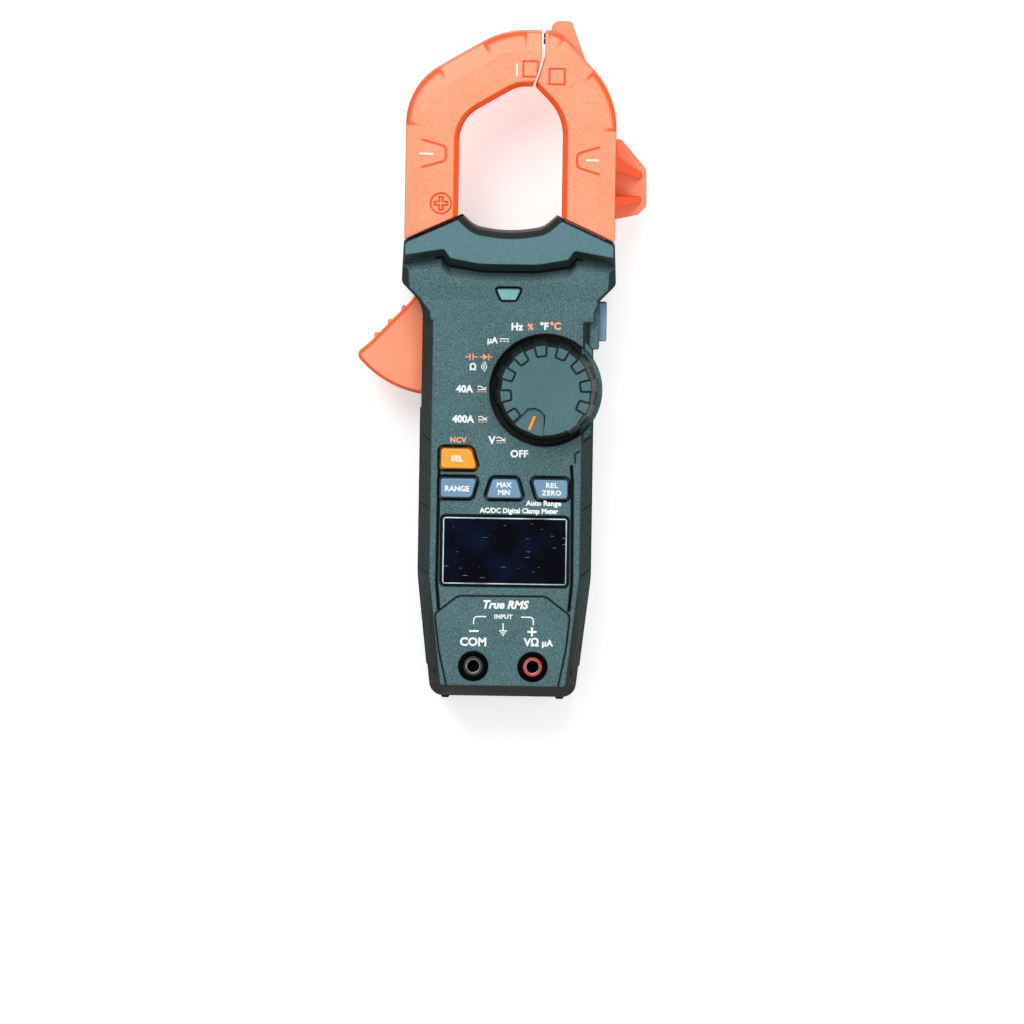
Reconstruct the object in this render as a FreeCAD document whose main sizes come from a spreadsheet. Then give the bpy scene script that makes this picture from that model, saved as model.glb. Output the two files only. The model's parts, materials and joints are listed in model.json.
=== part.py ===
"""Clamp meter: a hand-held meter with a sprung jaw, a rotary selector and push buttons.

Frame: X to the right seen from the front, Y towards the jaws, Z out of the front face.
The origin lies on the flat back of the case, on its centre line. Millimetres.
"""
import FreeCAD
import Part
import Sketcher
import math
import os
from FreeCAD import Placement, Rotation, Vector

SIZES = {
    # case, seen from the front
    "case_half_width": 27.5,
    "foot_half_width": 23.1,
    "head_half_width": 34.4,
    "root_half_width": 33.9,
    "case_bottom_y": -107.6,
    "taper_y": -69.0,
    "neck_y": 18.0,
    "head_y": 25.0,
    "wall": 2.2,
    # levels above the back rest plane
    "back_bevel": 1.6,
    "floor_z": 2.4,
    "head_back_z": 5.0,
    "head_floor_z": 7.4,
    "parting_z": 16.0,
    "board_z": 22.0,
    "board_top_z": 23.6,
    "flank_z": 25.4,
    "flank_width": 4.3,
    "well_z": 27.6,
    "panel_under_z": 27.8,
    "panel_z": 30.0,
    "shoulder_z": 31.2,
    "ceiling_z": 31.8,
    "plate_z": 34.4,
    # jaws
    "jaw_back_z": 9.5,
    "jaw_split_z": 21.0,
    "jaw_front_z": 33.0,
    "jaw_wall": 2.3,
    "jaw_face_drop": 1.5,
    "outer_bevel": 5.8,
    "inner_bevel": 1.8,
    "tongue_back_z": 10.3,
    "tongue_front_z": 28.7,
    "jaw_half_width": 33.8,
    "jaw_top_y": 106.0,
    "window_half_width": 16.6,
    "window_top_y": 88.5,
    "seam_outer_y": 39.05,
    "seam_inner_y": 46.85,
    "seam_gap": 0.9,
    "tip_gap": 1.0,
    "core_inset": 5.2,
    "core_back_z": 17.0,
    "core_front_z": 25.0,
    # jaw pivot and trigger
    "pivot_x": -22.5,
    "pivot_y": 25.2,
    "pin_radius": 2.5,
    "pin_top_z": 29.6,
    "bush_bore_radius": 2.55,
    "bush_radius": 3.6,
    "hub_radius": 6.4,
    "hub_top_z": 24.0,
    "trigger_back_z": 8.0,
    "trigger_front_z": 20.5,
    "trigger_reach": 35.0,
    # selector dial
    "dial_x": 12.4,
    "dial_y": -9.0,
    "dial_well_radius": 18.1,
    "dial_base_radius": 16.3,
    "dial_tooth_radius": 17.0,
    "dial_face_radius": 14.6,
    "dial_base_z": 28.0,
    "dial_top_z": 38.4,
    "dial_step": 22.5,
    "stem_radius": 4.0,
    "stem_hole_radius": 4.06,
    "tooth_width": 4.2,
    # buttons
    "button_top_z": 30.9,
    "button_flange_z": 26.2,
    "button_gap": 0.35,
    "button_travel": 0.8,
    # input jacks
    "jack_pitch": 19.05,
    "jack_y": -98.0,
    "jack_well_radius": 4.83,
    "jack_sleeve_radius": 3.0,
    "jack_tube_radius": 2.45,
    "jack_bore_radius": 2.0,
    "jack_bottom_z": 9.0,
    # display
    "window_x": 20.0,
    "display_low_y": -71.7,
    "display_high_y": -50.1,
    # screws and cells
    "screw_head_radius": 2.4,
    "screw_radius": 1.3,
    "screw_seat_z": 8.0,
    "cell_radius": 5.25,
    "cell_length": 44.5,
    "cell_pitch": 11.6,
    "cell_low_y": -90.2,
    "cell_z": 7.9,
}


class Dimensions:
    """The same numbers as attributes, for coordinates inside sketches."""

    def __init__(self, values):
        self.__dict__.update(values)


D = Dimensions(SIZES)
SCREWS = ((-19.3, -99.5), (19.3, -99.5), (-3.5, 16.0), (22.0, 26.0))
DOOR_SCREW = (0.0, -37.2)
BUTTONS = {
    "sel_button": [(-21.0, -28.0, 1.2), (-21.0, -34.6, 1.2), (-9.2, -34.6, 1.2), (-11.2, -28.0, 1.8)],
    "range_button": [(-21.0, -37.6, 1.0), (-21.0, -43.9, 1.0), (-10.9, -43.9, 1.6), (-9.2, -37.6, 1.0)],
    "max_min_button": [(-4.3, -37.6, 1.4), (-6.3, -43.9, 1.0), (5.5, -43.9, 1.0), (3.6, -37.6, 1.4)],
    "zero_button": [(8.4, -37.6, 1.0), (10.3, -43.9, 1.6), (20.0, -43.9, 1.2), (20.0, -37.6, 1.2)],
}

doc = FreeCAD.newDocument("clamp_meter")
sheet = doc.addObject("Spreadsheet::Sheet", "Sizes")
for row, (alias, number) in enumerate(SIZES.items(), start=1):
    sheet.set("A%d" % row, alias)
    sheet.set("B%d" % row, str(number))
    sheet.setAlias("B%d" % row, alias)
doc.recompute()

NODES = []


# ---------------------------------------------------------------- helpers
def bind(item, path, formula):
    """Bind a property to a formula of sheet aliases, written with spaces between the words."""
    words = ["Sizes." + word if word in SIZES else word for word in str(formula).split()]
    item.setExpression(path, " ".join(words))


def keep(item, label):
    """Name an object as one finished sub-part."""
    item.Label = label
    NODES.append(item)
    return item


def body(label):
    """A new PartDesign body that is a finished sub-part."""
    return keep(doc.addObject("PartDesign::Body", label), label)


def mirrored(points):
    """The same outline on the other side of the centre line, still counter-clockwise."""
    return [(-point[0],) + tuple(point[1:]) for point in reversed(points)]


def inset(points, distance):
    """Move every edge of a counter-clockwise outline inwards, keeping its arcs concentric."""
    moved = []
    count = len(points)
    for index, point in enumerate(points):
        here = Vector(point[0], point[1], 0)
        before = Vector(points[index - 1][0], points[index - 1][1], 0)
        after = Vector(points[(index + 1) % count][0], points[(index + 1) % count][1], 0)
        arriving = (here - before).normalize()
        leaving = (after - here).normalize()
        turn = arriving.x * leaving.y - arriving.y * leaving.x
        inward = Vector(-arriving.y - leaving.y, arriving.x + leaving.x, 0)
        corner = here + inward * (distance / (1 + arriving.dot(leaving)))
        radius = point[2] if len(point) > 2 else 0
        if radius:
            radius = max(radius - math.copysign(distance, turn), 0.3)
        moved.append((corner.x, corner.y, radius))
    return moved


def rounded(points):
    """Straight runs joined by tangent arcs, through corners given as (x, y) or (x, y, radius).

    An arc that would use up more than its shorter edge is made smaller.
    """
    starts, ends, arcs = [], [], []
    count = len(points)
    for index, point in enumerate(points):
        corner = Vector(point[0], point[1], 0)
        radius = point[2] if len(point) > 2 else 0
        if not radius:
            starts.append(corner)
            ends.append(corner)
            arcs.append(None)
            continue
        back = Vector(points[index - 1][0], points[index - 1][1], 0) - corner
        ahead = Vector(points[(index + 1) % count][0], points[(index + 1) % count][1], 0) - corner
        half = back.getAngle(ahead) / 2
        reach = min(radius / math.tan(half), 0.95 * back.Length, 0.95 * ahead.Length)
        radius = reach * math.tan(half)
        back.normalize()
        ahead.normalize()
        middle = corner + (back + ahead).normalize() * (radius / math.sin(half) - radius)
        starts.append(corner + back * reach)
        ends.append(corner + ahead * reach)
        arcs.append(Part.Arc(starts[-1], middle, ends[-1]))
    pieces = []
    for index in range(count):
        if arcs[index]:
            pieces.append(arcs[index])
        following = starts[(index + 1) % count]
        if (following - ends[index]).Length > 1e-6:
            pieces.append(Part.LineSegment(ends[index], following))
    return pieces


def box_outline(low_x, low_y, high_x, high_y, radius=0):
    """A rectangle with equal corner radii."""
    corners = [(low_x, low_y), (high_x, low_y), (high_x, high_y), (low_x, high_y)]
    return [corner + (radius,) for corner in corners]


def circle(x, y, radius):
    """A circle whose radius is a formula of sheet aliases."""
    return {"x": x, "y": y, "radius": radius}


def sketch(owner, loops, level=0, plane="XY_Plane"):
    """A sketch of rounded outlines and circles, at a level along its origin plane's normal."""
    drawing = owner.newObject("Sketcher::SketchObject", owner.Name + "_sketch")
    origin_plane = [item for item in owner.Origin.OriginFeatures if item.Role == plane][0]
    drawing.AttachmentSupport = [(origin_plane, "")]
    drawing.MapMode = "FlatFace"
    bind(drawing, "AttachmentOffset.Base.z", level)
    for loop in loops:
        if isinstance(loop, dict):
            start = Part.Circle(Vector(loop["x"], loop["y"], 0), Vector(0, 0, 1), 1)
            index = drawing.addGeometry(start, False)
            radius = drawing.addConstraint(Sketcher.Constraint("Radius", index, 1))
            bind(drawing, "Constraints[%d]" % radius, loop["radius"])
        else:
            drawing.addGeometry(rounded(loop), False)
    return drawing


def pad(owner, loops, level, height, plane="XY_Plane"):
    """Add material from a level upwards."""
    feature = owner.newObject("PartDesign::Pad", owner.Name + "_pad")
    feature.Profile = sketch(owner, loops, level, plane)
    bind(feature, "Length", height)
    return feature


def tapered(owner, low_outline, high_outline, level, top):
    """Add material with straight sloping sides between two outlines with as many corners."""
    feature = owner.newObject("PartDesign::AdditiveLoft", owner.Name + "_taper")
    feature.Profile = sketch(owner, [low_outline], level)
    feature.Sections = [sketch(owner, [high_outline], top)]
    feature.Ruled = True
    return feature


def pocket(owner, loops, level, height):
    """Remove material from a level upwards."""
    feature = owner.newObject("PartDesign::Pocket", owner.Name + "_pocket")
    feature.Profile = sketch(owner, loops, level)
    feature.Reversed = True
    bind(feature, "Length", height)
    return feature


def side_cut(owner, points, width, plane="YZ_Plane"):
    """Remove a profile drawn on an upright plane, equally to both sides of it."""
    feature = owner.newObject("PartDesign::Pocket", owner.Name + "_side_cut")
    feature.Profile = sketch(owner, [points], 0, plane)
    feature.Midplane = True
    bind(feature, "Length", width)
    return feature


def edges_where(shape, test):
    """Names of the edges whose middle point passes a test."""
    names = []
    for index, edge in enumerate(shape.Edges, start=1):
        middle = edge.valueAt((edge.FirstParameter + edge.LastParameter) / 2)
        if test(middle, edge):
            names.append("Edge%d" % index)
    return names


def chamfer(owner, test, size, second=None):
    """Bevel the chosen edges, with a second size on the other side where it is given."""
    doc.recompute()
    base = owner.Tip
    feature = owner.newObject("PartDesign::Chamfer", owner.Name + "_chamfer")
    feature.Base = (base, edges_where(base.Shape, test))
    bind(feature, "Size", size)
    if second is not None:
        feature.ChamferType = "Two distances"
        bind(feature, "Size2", second)
    return feature


def fillet(owner, test, radius):
    """Round the chosen edges."""
    doc.recompute()
    base = owner.Tip
    feature = owner.newObject("PartDesign::Fillet", owner.Name + "_fillet")
    feature.Base = (base, edges_where(base.Shape, test))
    bind(feature, "Radius", radius)
    return feature


def flat_at(level):
    """A test for edges that lie in the level plane."""
    def test(middle, edge):
        return abs(middle.z - level) < 0.01 and abs(edge.tangentAt(edge.FirstParameter).z) < 0.01
    return test


def block(label, low, size):
    """A plain box, from its low corner and the formulas of its three lengths."""
    item = doc.addObject("Part::Box", label)
    for path, formula in zip(("Length", "Width", "Height"), size):
        bind(item, path, formula)
    for path, formula in zip(("x", "y", "z"), low):
        bind(item, "Placement.Base." + path, formula)
    return item


def rod(label, x, y, level, radius, height):
    """A plain upright cylinder."""
    item = doc.addObject("Part::Cylinder", label)
    bind(item, "Radius", radius)
    bind(item, "Height", height)
    for path, formula in zip(("x", "y", "z"), (x, y, level)):
        bind(item, "Placement.Base." + path, formula)
    return item


def joined(kind, label, items):
    """A fusion or a compound of several objects."""
    item = doc.addObject(kind, label)
    if kind == "Part::Compound":
        item.Links = items
    else:
        item.Shapes = items
    return item


def cut(label, base, tool):
    """One object with another taken away."""
    item = doc.addObject("Part::Cut", label)
    item.Base = base
    item.Tool = tool
    return item


# ---------------------------------------------------------------- outlines
def seam_y(x, below=0.0):
    """Height of the slanted seam between jaws and case, a distance below it where given."""
    slope = (D.seam_inner_y - D.seam_outer_y) / (D.jaw_half_width - D.window_half_width)
    drop = below * math.hypot(1, slope)
    return D.seam_outer_y + slope * (D.jaw_half_width - abs(x)) - drop


def case_outline():
    """Plan of both case shells: straight grip, tapered foot, wide head, cradle under the jaw window."""
    right = [
        (D.foot_half_width, D.case_bottom_y, 4.5),
        (D.case_half_width, D.taper_y, 40),
        (D.case_half_width, D.neck_y, 9),
        (D.head_half_width, D.head_y, 2.5),
        (D.root_half_width, seam_y(D.root_half_width, D.seam_gap), 2.0),
        (15.2, seam_y(15.2, D.seam_gap)),
        (11.0, 42.7, 8),
    ]
    return right + [(0, 40.9, 40)] + mirrored(right)


def jaw_tip(side, x, y):
    """A point of the slanted tip face, half the tip gap to one side of the parting line."""
    return (x + side * D.tip_gap / 2, y)


def moving_jaw_outline():
    """Plan of the left jaw, counter-clockwise from the seam's inner end."""
    return [
        (-D.window_half_width, D.seam_inner_y),
        (-D.window_half_width, 77.7, 12),
        (1.9, D.window_top_y, 10),
        jaw_tip(-1, 7.1, D.window_top_y),
        jaw_tip(-1, 8.5, 92.0),
        jaw_tip(-1, 10.0, 97.6),
        jaw_tip(-1, 10.0, D.jaw_top_y),
        (-3.0, D.jaw_top_y, 28),
        (-D.jaw_half_width, 88.0, 21.5),
        (-D.jaw_half_width, D.seam_outer_y),
    ]


def fixed_jaw_outline():
    """Plan of the right jaw, counter-clockwise from the seam's outer end."""
    return [
        (D.jaw_half_width, D.seam_outer_y),
        (D.jaw_half_width, 85.7, 28),
        (14.6, D.jaw_top_y, 7),
        jaw_tip(1, 10.0, D.jaw_top_y),
        jaw_tip(1, 10.0, 97.6),
        jaw_tip(1, 8.5, 92.0),
        jaw_tip(1, 7.1, D.window_top_y),
        (D.window_half_width, 79.3, 16),
        (D.window_half_width, D.seam_inner_y),
    ]


def neck_outline():
    """The moving jaw's neck between the seam and its hub, inside the case."""
    return [(-28.2, 43.0), (-25.9, 34.0), (-15.6, 30.0), (-17.4, 45.0), (-17.4, 48.0), (-28.2, 44.6)]


def tongue_outline():
    """The fixed jaw's root inside the case."""
    return [(17.6, 31.0, 1), (31.0, 31.0, 1), (31.0, 42.0), (17.6, 48.0)]


def fixed_core_outline():
    """The fixed core: down the right jaw, then under the window to the moving jaw's neck."""
    right = D.jaw_half_width - D.core_inset
    left = D.window_half_width + D.core_inset
    top = D.jaw_top_y - D.core_inset
    return [
        (-13.6, 31.6),
        (right, 31.6, 3),
        (right, 83.6, 23),
        (12.6, top, 2),
        (11.0 + D.core_inset / 2, 94.0),
        (left, 82.0, 21),
        (left, 38.2, 1),
        (-14.2, 38.2),
    ]


def moving_core_outline():
    """The moving core: from the tip round to the neck."""
    return [
        (-21.9, 47.3),
        (-21.9, 80.8, 17),
        (0.5, 93.7, 15),
        (6.2, 94.6),
        (6.2, 100.8),
        (-4.4, 100.8, 22),
        (-28.6, 85.0, 16),
        (-28.6, 45.4),
    ]


CASE = case_outline()
CAVITY = inset(CASE, D.wall)


# ---------------------------------------------------------------- case shells
def trigger_slot(owner, level, height):
    """The opening in the left wall where the trigger swings in and out."""
    pocket(owner, [box_outline(-38, -12.6, -24.6, 24.2)], level, height)


def neck_passage(owner, level, height):
    """The openings in the head where the moving neck swings and the fixed tongue enters."""
    sweep = [
        (D.pivot_x + radius * math.cos(math.radians(angle)), D.pivot_y + radius * math.sin(math.radians(angle)))
        for radius, angle in ((9.2, 60), (26, 71), (26, 133), (9.2, 133))
    ]
    pocket(owner, [sweep], level, height)
    pocket(owner, [inset(tongue_outline(), -0.1)], level, height)


def make_front_case():
    """The front shell: panel, shoulder, raised barrier, dial well and every opening."""
    case = body("front_case")
    pad(case, [CASE], "parting_z", "flank_z - parting_z")
    grip = [point for point in CASE if point[1] < D.neck_y and point[0] > 0]
    grip += [(D.case_half_width, 28.0), (-D.case_half_width, 28.0)] + mirrored(grip)
    tapered(case, grip, inset(grip, D.flank_width), "flank_z", "shoulder_z")
    upper = [point for point in CASE if point[1] > 17]
    head_plan = [(D.case_half_width, 13.0)] + upper + [(-D.case_half_width, 13.0)]
    pad(case, [head_plan], "flank_z", "shoulder_z - flank_z")
    side_cut(case, [(-120, D.panel_z), (19.6, D.panel_z), (25.3, D.shoulder_z), (25.3, 33), (-120, 33)], 90)
    seat = [circle(D.dial_x, D.dial_y, "dial_well_radius + 0.1")]
    pad(case, seat, "board_z", "well_z - board_z")
    pad(case, [box_outline(24.0, 4.2, 29.3, 21.5, 0.8)], "parting_z", "well_z - parting_z - 0.6")
    top = [point for point in inset(CASE, 0.3) if point[1] > 30]
    foot, brow = [
        half + [(-x, y, *rest) for x, y, *rest in reversed(half)] + top
        for half in (
            [(-33.55, 30.9), (-21.8, 33.0, 2.4), (-19.2, 30.2, 1.0), (-9.5, 28.6, 25)],
            [(-33.55, 33.9), (-21.0, 36.1, 1.2), (-19.0, 33.2, 1.2), (-9.5, 31.4, 25)],
        )
    ]
    tapered(case, foot, brow, "panel_z", "plate_z")
    chamfer(case, lambda middle, edge: flat_at(D.plate_z)(middle, edge) and middle.y > 40.2
            and abs(middle.x) < 14.9, 1.9, 1.6)
    pocket(case, [CAVITY], "parting_z", "panel_under_z - parting_z")
    head = [point for point in CAVITY if point[1] > 30] + [(-31.5, 34.2, 2), (31.5, 34.2, 2)]
    pocket(case, [head], "panel_under_z - 1", "ceiling_z - panel_under_z + 1")
    pad(case, [box_outline(19.0, 34.8, 29.5, 38.0)], "tongue_front_z", "ceiling_z - tongue_front_z + 0.5")
    dial_tub(case)
    for x, y in SCREWS:
        pad(case, [circle(x, y, 3.0)], "parting_z", "panel_under_z - parting_z + 0.3")
        pocket(case, [circle(x, y, "screw_radius")], "parting_z", "board_top_z - parting_z + 1")
    pocket(case, [circle(D.pivot_x, D.pivot_y, "pin_radius")], "parting_z", "pin_top_z - parting_z")
    recess = box_outline(-D.window_x, D.display_low_y, D.window_x, D.display_high_y, 1.0)
    pocket(case, [recess], "panel_z - 1.3", 3)
    pocket(case, [inset(recess, 1.6)], "parting_z", 20)
    for outline in BUTTONS.values():
        pocket(case, [inset(outline, -D.button_gap)], "parting_z", 20)
    for side in (-1, 1):
        pocket(case, [circle(side * D.jack_pitch / 2, D.jack_y, "jack_well_radius")], "parting_z", 20)
    pocket(case, [inset(LENS, -0.1)], "parting_z", 20)
    trigger_slot(case, "parting_z", "trigger_front_z - parting_z + 0.5")
    neck_passage(case, "parting_z", "tongue_front_z - parting_z")
    pocket(case, [box_outline(22.0, 6.4, 31.0, 19.8, 0.5)], 17.5, 7.6)
    return case


def dial_tub(case):
    """The walled floor that carries the selector dial, open where the dial overhangs the side."""
    reach = 20.0
    edge = 27.2 - D.dial_x
    rise = math.sqrt(reach ** 2 - edge ** 2)
    arc = Part.Arc(
        Vector(D.dial_x + edge, D.dial_y + rise, 0),
        Vector(D.dial_x - reach, D.dial_y, 0),
        Vector(D.dial_x + edge, D.dial_y - rise, 0),
    )
    feature = case.newObject("PartDesign::Pad", "dial_tub")
    drawing = sketch(case, [], "board_top_z + 1.8")
    drawing.addGeometry([arc, Part.LineSegment(arc.EndPoint, arc.StartPoint)], False)
    feature.Profile = drawing
    bind(feature, "Length", "panel_z - board_top_z - 2.8")
    pocket(case, [circle(D.dial_x, D.dial_y, "dial_well_radius")], "well_z", 6)
    pocket(case, [circle(D.dial_x, D.dial_y, "stem_hole_radius")], "parting_z", 20)


def make_rear_case():
    """The rear shell: flat back, stepped head, battery tray, grip recesses and screw bosses."""
    case = body("rear_case")
    tapered(case, inset(CASE, D.back_bevel), CASE, 0, "back_bevel")
    pad(case, [CASE], "back_bevel", "parting_z - back_bevel")
    side_cut(case, [(19.0, -1), (19.0, 0), (27.0, D.head_back_z), (50, D.head_back_z), (50, -1)], 90)
    body_cavity = [point for point in CAVITY if point[1] < 19] + [(-26.5, 19.0), (26.5, 19.0)]
    low = [point for point in body_cavity if point[0] < 0 and point[1] < 18.9]
    high = [point for point in body_cavity if point[0] > 0 and point[1] < 18.9]
    pocket(case, [high + [(25.3, 18.6), (-25.3, 18.6)] + low], "floor_z", "parting_z - floor_z")
    pocket(case, [CAVITY], "head_floor_z", "parting_z - head_floor_z")
    pad(case, [box_outline(-19.8, -94.4, 19.8, -40.6)], "floor_z - 1", "parting_z - floor_z + 0.6")
    pad(case, [circle(*DOOR_SCREW, 3.2)], "floor_z - 0.5", 10)
    pad(case, [box_outline(19.0, 33.0, 29.5, 38.0)], "head_floor_z - 0.5",
        "tongue_back_z - head_floor_z + 0.5")
    pad(case, [circle(D.pivot_x, D.pivot_y, 5.0)], "head_floor_z - 0.5",
        "tongue_back_z - head_floor_z + 0.3")
    pocket(case, [circle(D.pivot_x, D.pivot_y, "pin_radius")], "head_back_z + 0.8", 10)
    pocket(case, [DOOR_PLAN], -1, 3)
    pocket(case, [box_outline(-18.2, -92.6, 18.2, -42.4)], -1, 15)
    pocket(case, [circle(*DOOR_SCREW, 1.2)], 0, 10.5)
    for x, y in SCREWS:
        pad(case, [circle(x, y, 3.4)], "floor_z - 0.4", "parting_z - floor_z + 0.4")
        pocket(case, [circle(x, y, "screw_head_radius + 0.2")], -1, "screw_seat_z + 1")
        pocket(case, [circle(x, y, "screw_radius")], 0, 20)
    trigger_slot(case, "trigger_back_z - 0.5", 20)
    neck_passage(case, "tongue_back_z - 0.1", 20)
    for side in (-1, 1):
        low_x, high_x = sorted((side * 17.0, side * 19.6))
        pad(case, [box_outline(low_x, -108.7, high_x, -106.0, 0.6)], 3, 10)
    return case


def grip_outline():
    """Plan of the soft grip on the right side wall."""
    outer = [point for point in inset(CASE, -0.35) if point[0] > 0 and point[1] < 10]
    taper = (outer[1][0] - outer[0][0]) / (outer[1][1] - outer[0][1])
    low_y, high_y = -98.0, -15.5
    low_x = outer[1][0] + taper * (low_y - outer[1][1])
    return [
        (low_x - 1.5, low_y),
        (low_x, low_y, 0.8),
        (outer[1][0], outer[1][1], 40),
        (outer[1][0], high_y, 0.8),
        (outer[1][0] - 1.5, high_y),
        (outer[1][0] - 1.5, outer[1][1], 38.5),
    ]


def make_grips(front_case, rear_case):
    """Soft grips let into both side walls across the parting line."""
    for label, outline in (("grip_right", grip_outline()), ("grip_left", mirrored(grip_outline()))):
        pocket(rear_case, [outline], 4, 20)
        pocket(front_case, [outline], "parting_z - 1", 7)
        grip = body(label)
        pad(grip, [outline], 4, "parting_z + 2")
        fillet(grip, lambda middle, edge: (flat_at(4)(middle, edge) or flat_at(22)(middle, edge))
               and abs(middle.x) > 26.6 * (1 + (min(middle.y, -69) + 69) * 0.0042), 0.7)


DOOR_PLAN = [
    (-20.5, -94.5, 2), (20.5, -94.5, 2), (20.5, -40.5, 2), (6.0, -40.5, 1.5),
    (5.0, -33.4, 2), (-5.0, -33.4, 2), (-6.0, -40.5, 1.5), (-20.5, -40.5, 2),
]
LENS = [(-3.9, 23.4, 0.5), (-2.2, 19.9, 0.6), (2.2, 19.9, 0.6), (3.9, 23.4, 0.5)]


# ---------------------------------------------------------------- jaws
def jaw_shell(label, outline, level, height, cavity_level, cavity_height):
    """One half of a jaw: its plan raised to a level, then hollowed for the core."""
    shell = body(label)
    pad(shell, [outline], level, height)
    pocket(shell, [inset(outline, D.jaw_wall)], cavity_level, cavity_height)
    return shell


def jaw_face(outline, bevels):
    """The jaw's flat face: its plan with each edge set in by its own bevel's width."""
    face = []
    count = len(outline)
    for index, point in enumerate(outline):
        here = Vector(point[0], point[1], 0)
        arriving = (here - Vector(*outline[index - 1][:2], 0)).normalize()
        leaving = (Vector(*outline[(index + 1) % count][:2], 0) - here).normalize()
        first, second = bevels[index - 1], bevels[index]
        turn = arriving.x * leaving.y - arriving.y * leaving.x
        shift = (leaving * first - arriving * second) * (1 / turn)
        corner = here + shift
        radius = point[2] if len(point) > 2 else 0
        if radius:
            radius = max(radius - math.copysign(first, turn), 0.3)
        face.append((corner.x, corner.y, radius))
    return face


def raise_jaw_face(shell, outline, bevels):
    """The gently sloping outer zone and the steep inner bevel round a jaw's face."""
    tapered(shell, outline, jaw_face(outline, bevels), "jaw_front_z - jaw_face_drop", "jaw_front_z")


def core_posts(shell, places, level, height):
    """Posts that hold the core away from the shell's face."""
    pad(shell, [circle(x, y, 1.8) for x, y in places], level, height)


JAW_SCREWS = {"moving": ((-30.0, 60.5), (-30.0, 80.0)), "fixed": ((30.0, 60.5), (30.0, 77.0))}
LEFT_POSTS = ((-25.2, 54.0), (-25.2, 74.0), (-9.0, 94.5))
RIGHT_POSTS = ((25.2, 50.0), (25.2, 72.0), (20.5, 88.5))


def make_moving_jaw():
    """The left jaw: two shells with neck and hub, core, bush, screws."""
    outline = moving_jaw_outline()
    hub = circle(D.pivot_x, D.pivot_y, "hub_radius")
    bush_hole = circle(D.pivot_x, D.pivot_y, "bush_radius")
    front = jaw_shell("moving_jaw_front", outline, "jaw_split_z", "jaw_front_z - jaw_split_z - jaw_face_drop",
                      "jaw_split_z", "jaw_front_z - jaw_split_z - jaw_wall - 0.6")
    raise_jaw_face(front, outline, 3 * [D.inner_bevel] + 3 * [0] + 3 * [D.outer_bevel] + [0])
    pad(front, [hub], "jaw_split_z", "hub_top_z - jaw_split_z")
    pad(front, [neck_outline()], "jaw_split_z", "hub_top_z - jaw_split_z")
    pocket(front, [bush_hole], "jaw_split_z - 1", 20)
    core_posts(front, LEFT_POSTS, "core_front_z", "jaw_front_z - core_front_z - jaw_wall")
    rear = jaw_shell("moving_jaw_rear", outline, "jaw_back_z", "jaw_split_z - jaw_back_z",
                     "jaw_back_z + jaw_wall", 20)
    pad(rear, [hub], "trigger_back_z + 7", "jaw_split_z - trigger_back_z - 7")
    pad(rear, [neck_outline()], "trigger_back_z + 7", "jaw_split_z - trigger_back_z - 7")
    pocket(rear, [bush_hole], 0, 30)
    core_posts(rear, LEFT_POSTS, "jaw_back_z + jaw_wall - 0.3", "core_back_z - jaw_back_z - jaw_wall + 0.3")
    core = body("moving_core")
    pad(core, [moving_core_outline()], "core_back_z", "core_front_z - core_back_z")
    pocket(core, [circle(x, y, 2.6) for x, y in JAW_SCREWS["moving"]], "core_back_z - 1", 20)
    bush = rod("bush_outside", "pivot_x", "pivot_y", "tongue_back_z", "bush_radius",
               "hub_top_z - tongue_back_z")
    bore = rod("bush_inside", "pivot_x", "pivot_y", 0, "bush_bore_radius", 40)
    keep(cut("pivot_bush", bush, bore), "pivot_bush")
    return front, rear


def make_trigger():
    """The orange trigger lever: a hub ring under the jaw's hub and a broad ridged sector."""
    trigger = body("trigger")
    sector = [
        (-21.4, -11.6), (-16.6, 22.4), (-27.6, 24.0), (-31.3, 18.4, 4), (-44.5, 4.8, 8),
        (-48.9, 1.3, 2.0), (-36.7, -11.6, D.trigger_reach),
    ]
    pad(trigger, [sector], "trigger_back_z", "trigger_front_z - trigger_back_z")
    chamfer(trigger, lambda middle, edge: (flat_at(D.trigger_front_z)(middle, edge)
            or flat_at(D.trigger_back_z)(middle, edge)) and middle.x < -21.5 and middle.y < 24, 1.0)
    pad(trigger, [circle(D.pivot_x, D.pivot_y, "hub_radius")], "tongue_back_z",
        "trigger_back_z + 7 - tongue_back_z")
    pocket(trigger, [circle(D.pivot_x, D.pivot_y, "hub_radius + 0.3")], "trigger_back_z + 7", 10)
    pocket(trigger, [circle(D.pivot_x, D.pivot_y, "hub_radius + 0.3")], "trigger_back_z - 1",
           "tongue_back_z - trigger_back_z + 1")
    pocket(trigger, [circle(D.pivot_x, D.pivot_y, "bush_radius")], 0, 30)
    ridge_start, ridge_end = Vector(-33.6, 15.8, 0), Vector(-43.0, 6.4, 0)
    for step in range(3):
        middle = ridge_start + (ridge_end - ridge_start) * (step / 2.0) * 0.92
        pad(trigger, [circle(middle.x + 0.15, middle.y + 0.15, 0.9)], "trigger_back_z + 1.2",
            "trigger_front_z - trigger_back_z - 2.4")
    return trigger


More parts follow.
